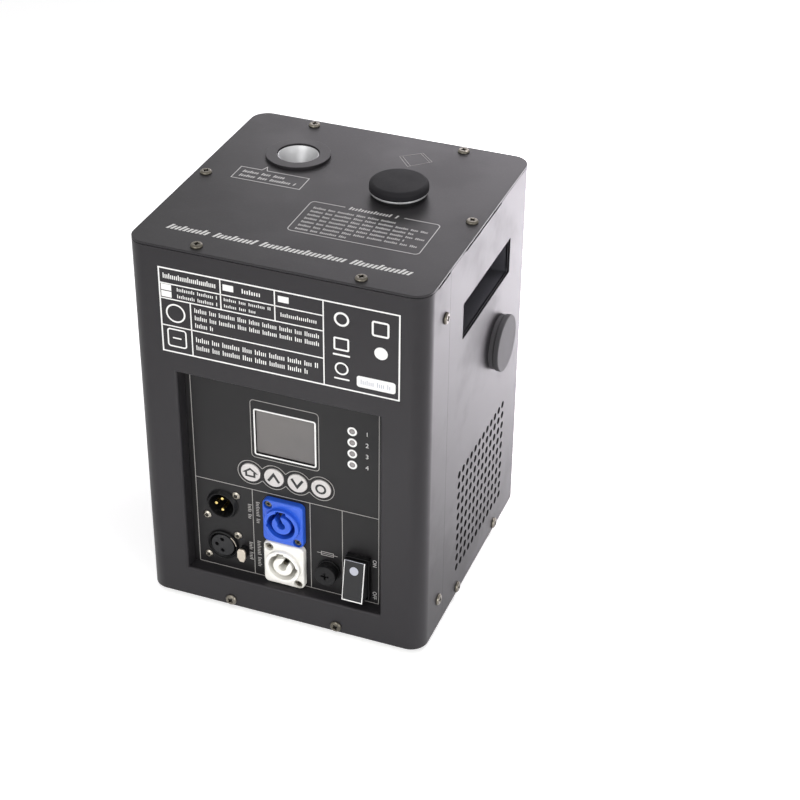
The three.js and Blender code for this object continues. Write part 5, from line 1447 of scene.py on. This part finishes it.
case_spots = [(ON_TOP, spot.x, spot.y) for spot in map(centre, TOP_SCREWS)]
case_spots += [(ON_FRONT, -35.5, 4), (ON_FRONT, 35.5, 4)]
case_spots += [(ON_RIGHT, y, z) for y, z in SIDE_SCREWS] + [(ON_LEFT, -y, z) for y, z in SIDE_SCREWS]
data_spots = [(ON_PANEL, x, z) for x, z in ((-33.7, 78.6), (-53.9, 59.1), (-33.5, 48.1), (-54.2, 28.5))]
power_spots = [(ON_PANEL, spot.x + x, spot.z + z) for spot in (POWER_IN, POWER_OUT) for x, z in POWER_SCREWS]
places = screw_places(case_spots, SCREW_SEAT, 0, CASE_SCREW)
places += screw_places(power_spots, WELL_LOW + SCREW_SEAT, 5, POWER_SCREW)
data_places = screw_places(data_spots, SCREW_SEAT, 3, DATA_SCREW)
data_screws = copies_of(cross_screw(0.62, 0.44), data_places, "bright nickel")
finished("data_socket_screws", data_screws, "bright nickel")
case_screws = copies_of(cross_screw(0.84, 0.34), places, "nickel bronze")
finished("case_screws", case_screws, "nickel bronze", stands_for=TOP_SCREWS)
# Flat black discs sunk in each screw's cross recess are painted shade. They darken the bottom of the recess.
recess = lathe([(0, 0.1), (0.31, 0.1), (0.31, -0.15), (0, -0.15)], 16)
finished("screw_recesses", copies_of(recess, places + data_places, "black plastic"), "black plastic")

FOOT_RADIUS = 9
FOOT_HIGH = -FLOOR
FOOT_SPOT = 74
foot = lathe([
    (0, 1.6), (3.6, 1.6, 0.3), (3.6, FOOT_HIGH, 0.3), (8, FOOT_HIGH, 0.6), (FOOT_RADIUS, 3, 0.4),
    (FOOT_RADIUS, CLEAR), (0, CLEAR),
], 48)
feet = [(ON_BASE, x, y, 0, 0, 1.0) for x in (-FOOT_SPOT, FOOT_SPOT) for y in (-FOOT_SPOT, FOOT_SPOT)]
finished("rubber_feet", copies_of(foot, feet, "rubber"), "rubber",
         stands_for=["foot_front_left", "foot_front_right", "foot_rear_left", "foot_rear_right"])


# Finishes of the parts inside, whose shapes come from the frame

INSIDE = {
    "plain steel": [
        "base_plate", "fuse_carrier", "feed_auger", "feed_motor", "driver_bracket", "chamber_tube",
    ],
    "black plastic": [
        "plug_collar", "display_module", "blower_housing", "blower_cover", "blower_wheel",
        "fan_frame", "fan_rotor",
    ],
    "lens plastic": ["glass_fuse"],
    "board": ["display_board", "driver_board"],
    "fibre": ["chamber_sleeve"],
    "copper": ["heating_coil"],
    "alloy": ["air_duct", "power_supply", "heat_sink"],
    "polished steel": ["hopper", "feed_tube"],
}
for finish, nodes in INSIDE.items():
    for node in nodes:
        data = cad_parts[node].data
        data.materials.clear()
        data.materials.append(FINISHES[finish][0])


# Studio

WORLD_FILL = 0.55
FLOOR_GLOW = 0.45
COOL = (0.98, 0.93, 1.0)
WHITE = (1, 1, 1)


def seen_directly(tree):
    """One for camera, glossy and see-through rays, and nought for all others."""
    rays = tree.nodes.new("ShaderNodeLightPath").outputs
    seen = math_node(tree, "MAXIMUM", rays["Is Camera Ray"], rays["Is Glossy Ray"])
    return math_node(tree, "MAXIMUM", seen, rays["Is Transmission Ray"])


def studio_surface(name, colour, glow):
    """A plain pale surface with a glow that only camera, glossy and see-through rays meet."""
    material, tree, shader = shaded(name, {"Base Color": colour, "Roughness": 0.9, "Specular IOR Level": 0.1})
    strength = times(tree, seen_directly(tree), glow)
    light = added(tree, "ShaderNodeEmission", {"Strength": strength})
    both = added(tree, "ShaderNodeAddShader", {0: shader.outputs[0], 1: light.outputs[0]})
    end = next(node for node in tree.nodes if node.type == "OUTPUT_MATERIAL")
    tree.links.new(both.outputs[0], end.inputs["Surface"])
    return material


def studio():
    bm = bmesh.new()
    bmesh.ops.create_grid(bm, x_segments=1, y_segments=1, size=6000)
    sheet = mesh_of(bm)
    sheet.transform(Matrix.Translation((0, 0, FLOOR)))
    sheet.transform(Matrix.Scale(MM, 4))
    sheet.materials.append(studio_surface("pale floor", (0.8, 0.8, 0.8, 1), FLOOR_GLOW))
    floor = bpy.data.objects.new("floor", sheet)
    bpy.context.scene.collection.objects.link(floor)
    world = bpy.data.worlds.new("studio")
    world.use_nodes = True
    bpy.context.scene.world = world
    tree = world.node_tree
    background = next(node for node in tree.nodes if node.type == "BACKGROUND")
    background.inputs["Color"].default_value = (1, 1, 1, 1)
    strength = between(tree, seen_directly(tree), 0, 1, WORLD_FILL, 1.0)
    tree.links.new(strength, background.inputs["Strength"])


def softbox(name, place, target, width, height, power, spread=180, colour=WHITE):
    lamp = bpy.data.lights.new(name, "AREA")
    lamp.color = colour
    lamp.shape = "RECTANGLE"
    lamp.size, lamp.size_y = width, height
    lamp.energy = power
    lamp.spread = math.radians(spread)
    thing = bpy.data.objects.new(name, lamp)
    bpy.context.scene.collection.objects.link(thing)
    thing.location = place
    thing.rotation_euler = (Vector(target) - Vector(place)).to_track_quat("-Z", "Y").to_euler()
    thing.visible_camera = False


studio()
softbox("front softbox", (-0.1, -1.35, 0.75), (0, 0, 0.1), 1.1, 0.9, 9)
softbox("right fill", (1.3, -0.8, 0.4), (0, 0, 0.12), 0.7, 0.5, 8.5)
softbox("back softbox", (-0.12, 0.85, 0.5), (0, 0, 0.25), 0.6, 0.3, 1.7, colour=COOL)
softbox("back light on the floor", (0.3, 0.5, 0.6), (0.3, 0.5, 0), 0.5, 0.5, 9, 90, COOL)
softbox("front light on the floor", (0, -0.33, 0.35), (0, -0.33, 0), 0.3, 0.2, 0.45, 70)


# Camera

AROUND = 20.538
ABOVE = 33.341
TILT = 0.653
EYE = Vector((394.362, -941.453, 777.907))
FOCAL_PIXELS = 1934.213
PICTURE_PIXELS = 800
SENSOR = 36


def camera():
    """The photograph's own camera, as fitted to the case's edges."""
    around, above, tilt = (math.radians(angle) for angle in (AROUND, ABOVE, TILT))
    level = math.cos(above)
    back = Vector((math.sin(around) * level, -math.cos(around) * level, math.sin(above)))
    right = Vector((math.cos(around), math.sin(around), 0))
    up = back.cross(right)
    across = math.cos(tilt) * right + math.sin(tilt) * up
    upward = -math.sin(tilt) * right + math.cos(tilt) * up
    turn = Matrix((across, upward, back)).transposed().to_4x4()
    turn.translation = EYE * MM
    lens = bpy.data.cameras.new("camera")
    lens.sensor_width = SENSOR
    lens.sensor_fit = "HORIZONTAL"
    lens.lens = SENSOR * FOCAL_PIXELS / PICTURE_PIXELS
    thing = bpy.data.objects.new("camera", lens)
    thing.matrix_world = turn
    bpy.context.scene.collection.objects.link(thing)
    bpy.context.scene.camera = thing


camera()
bpy.context.scene.view_settings.view_transform = "Standard"
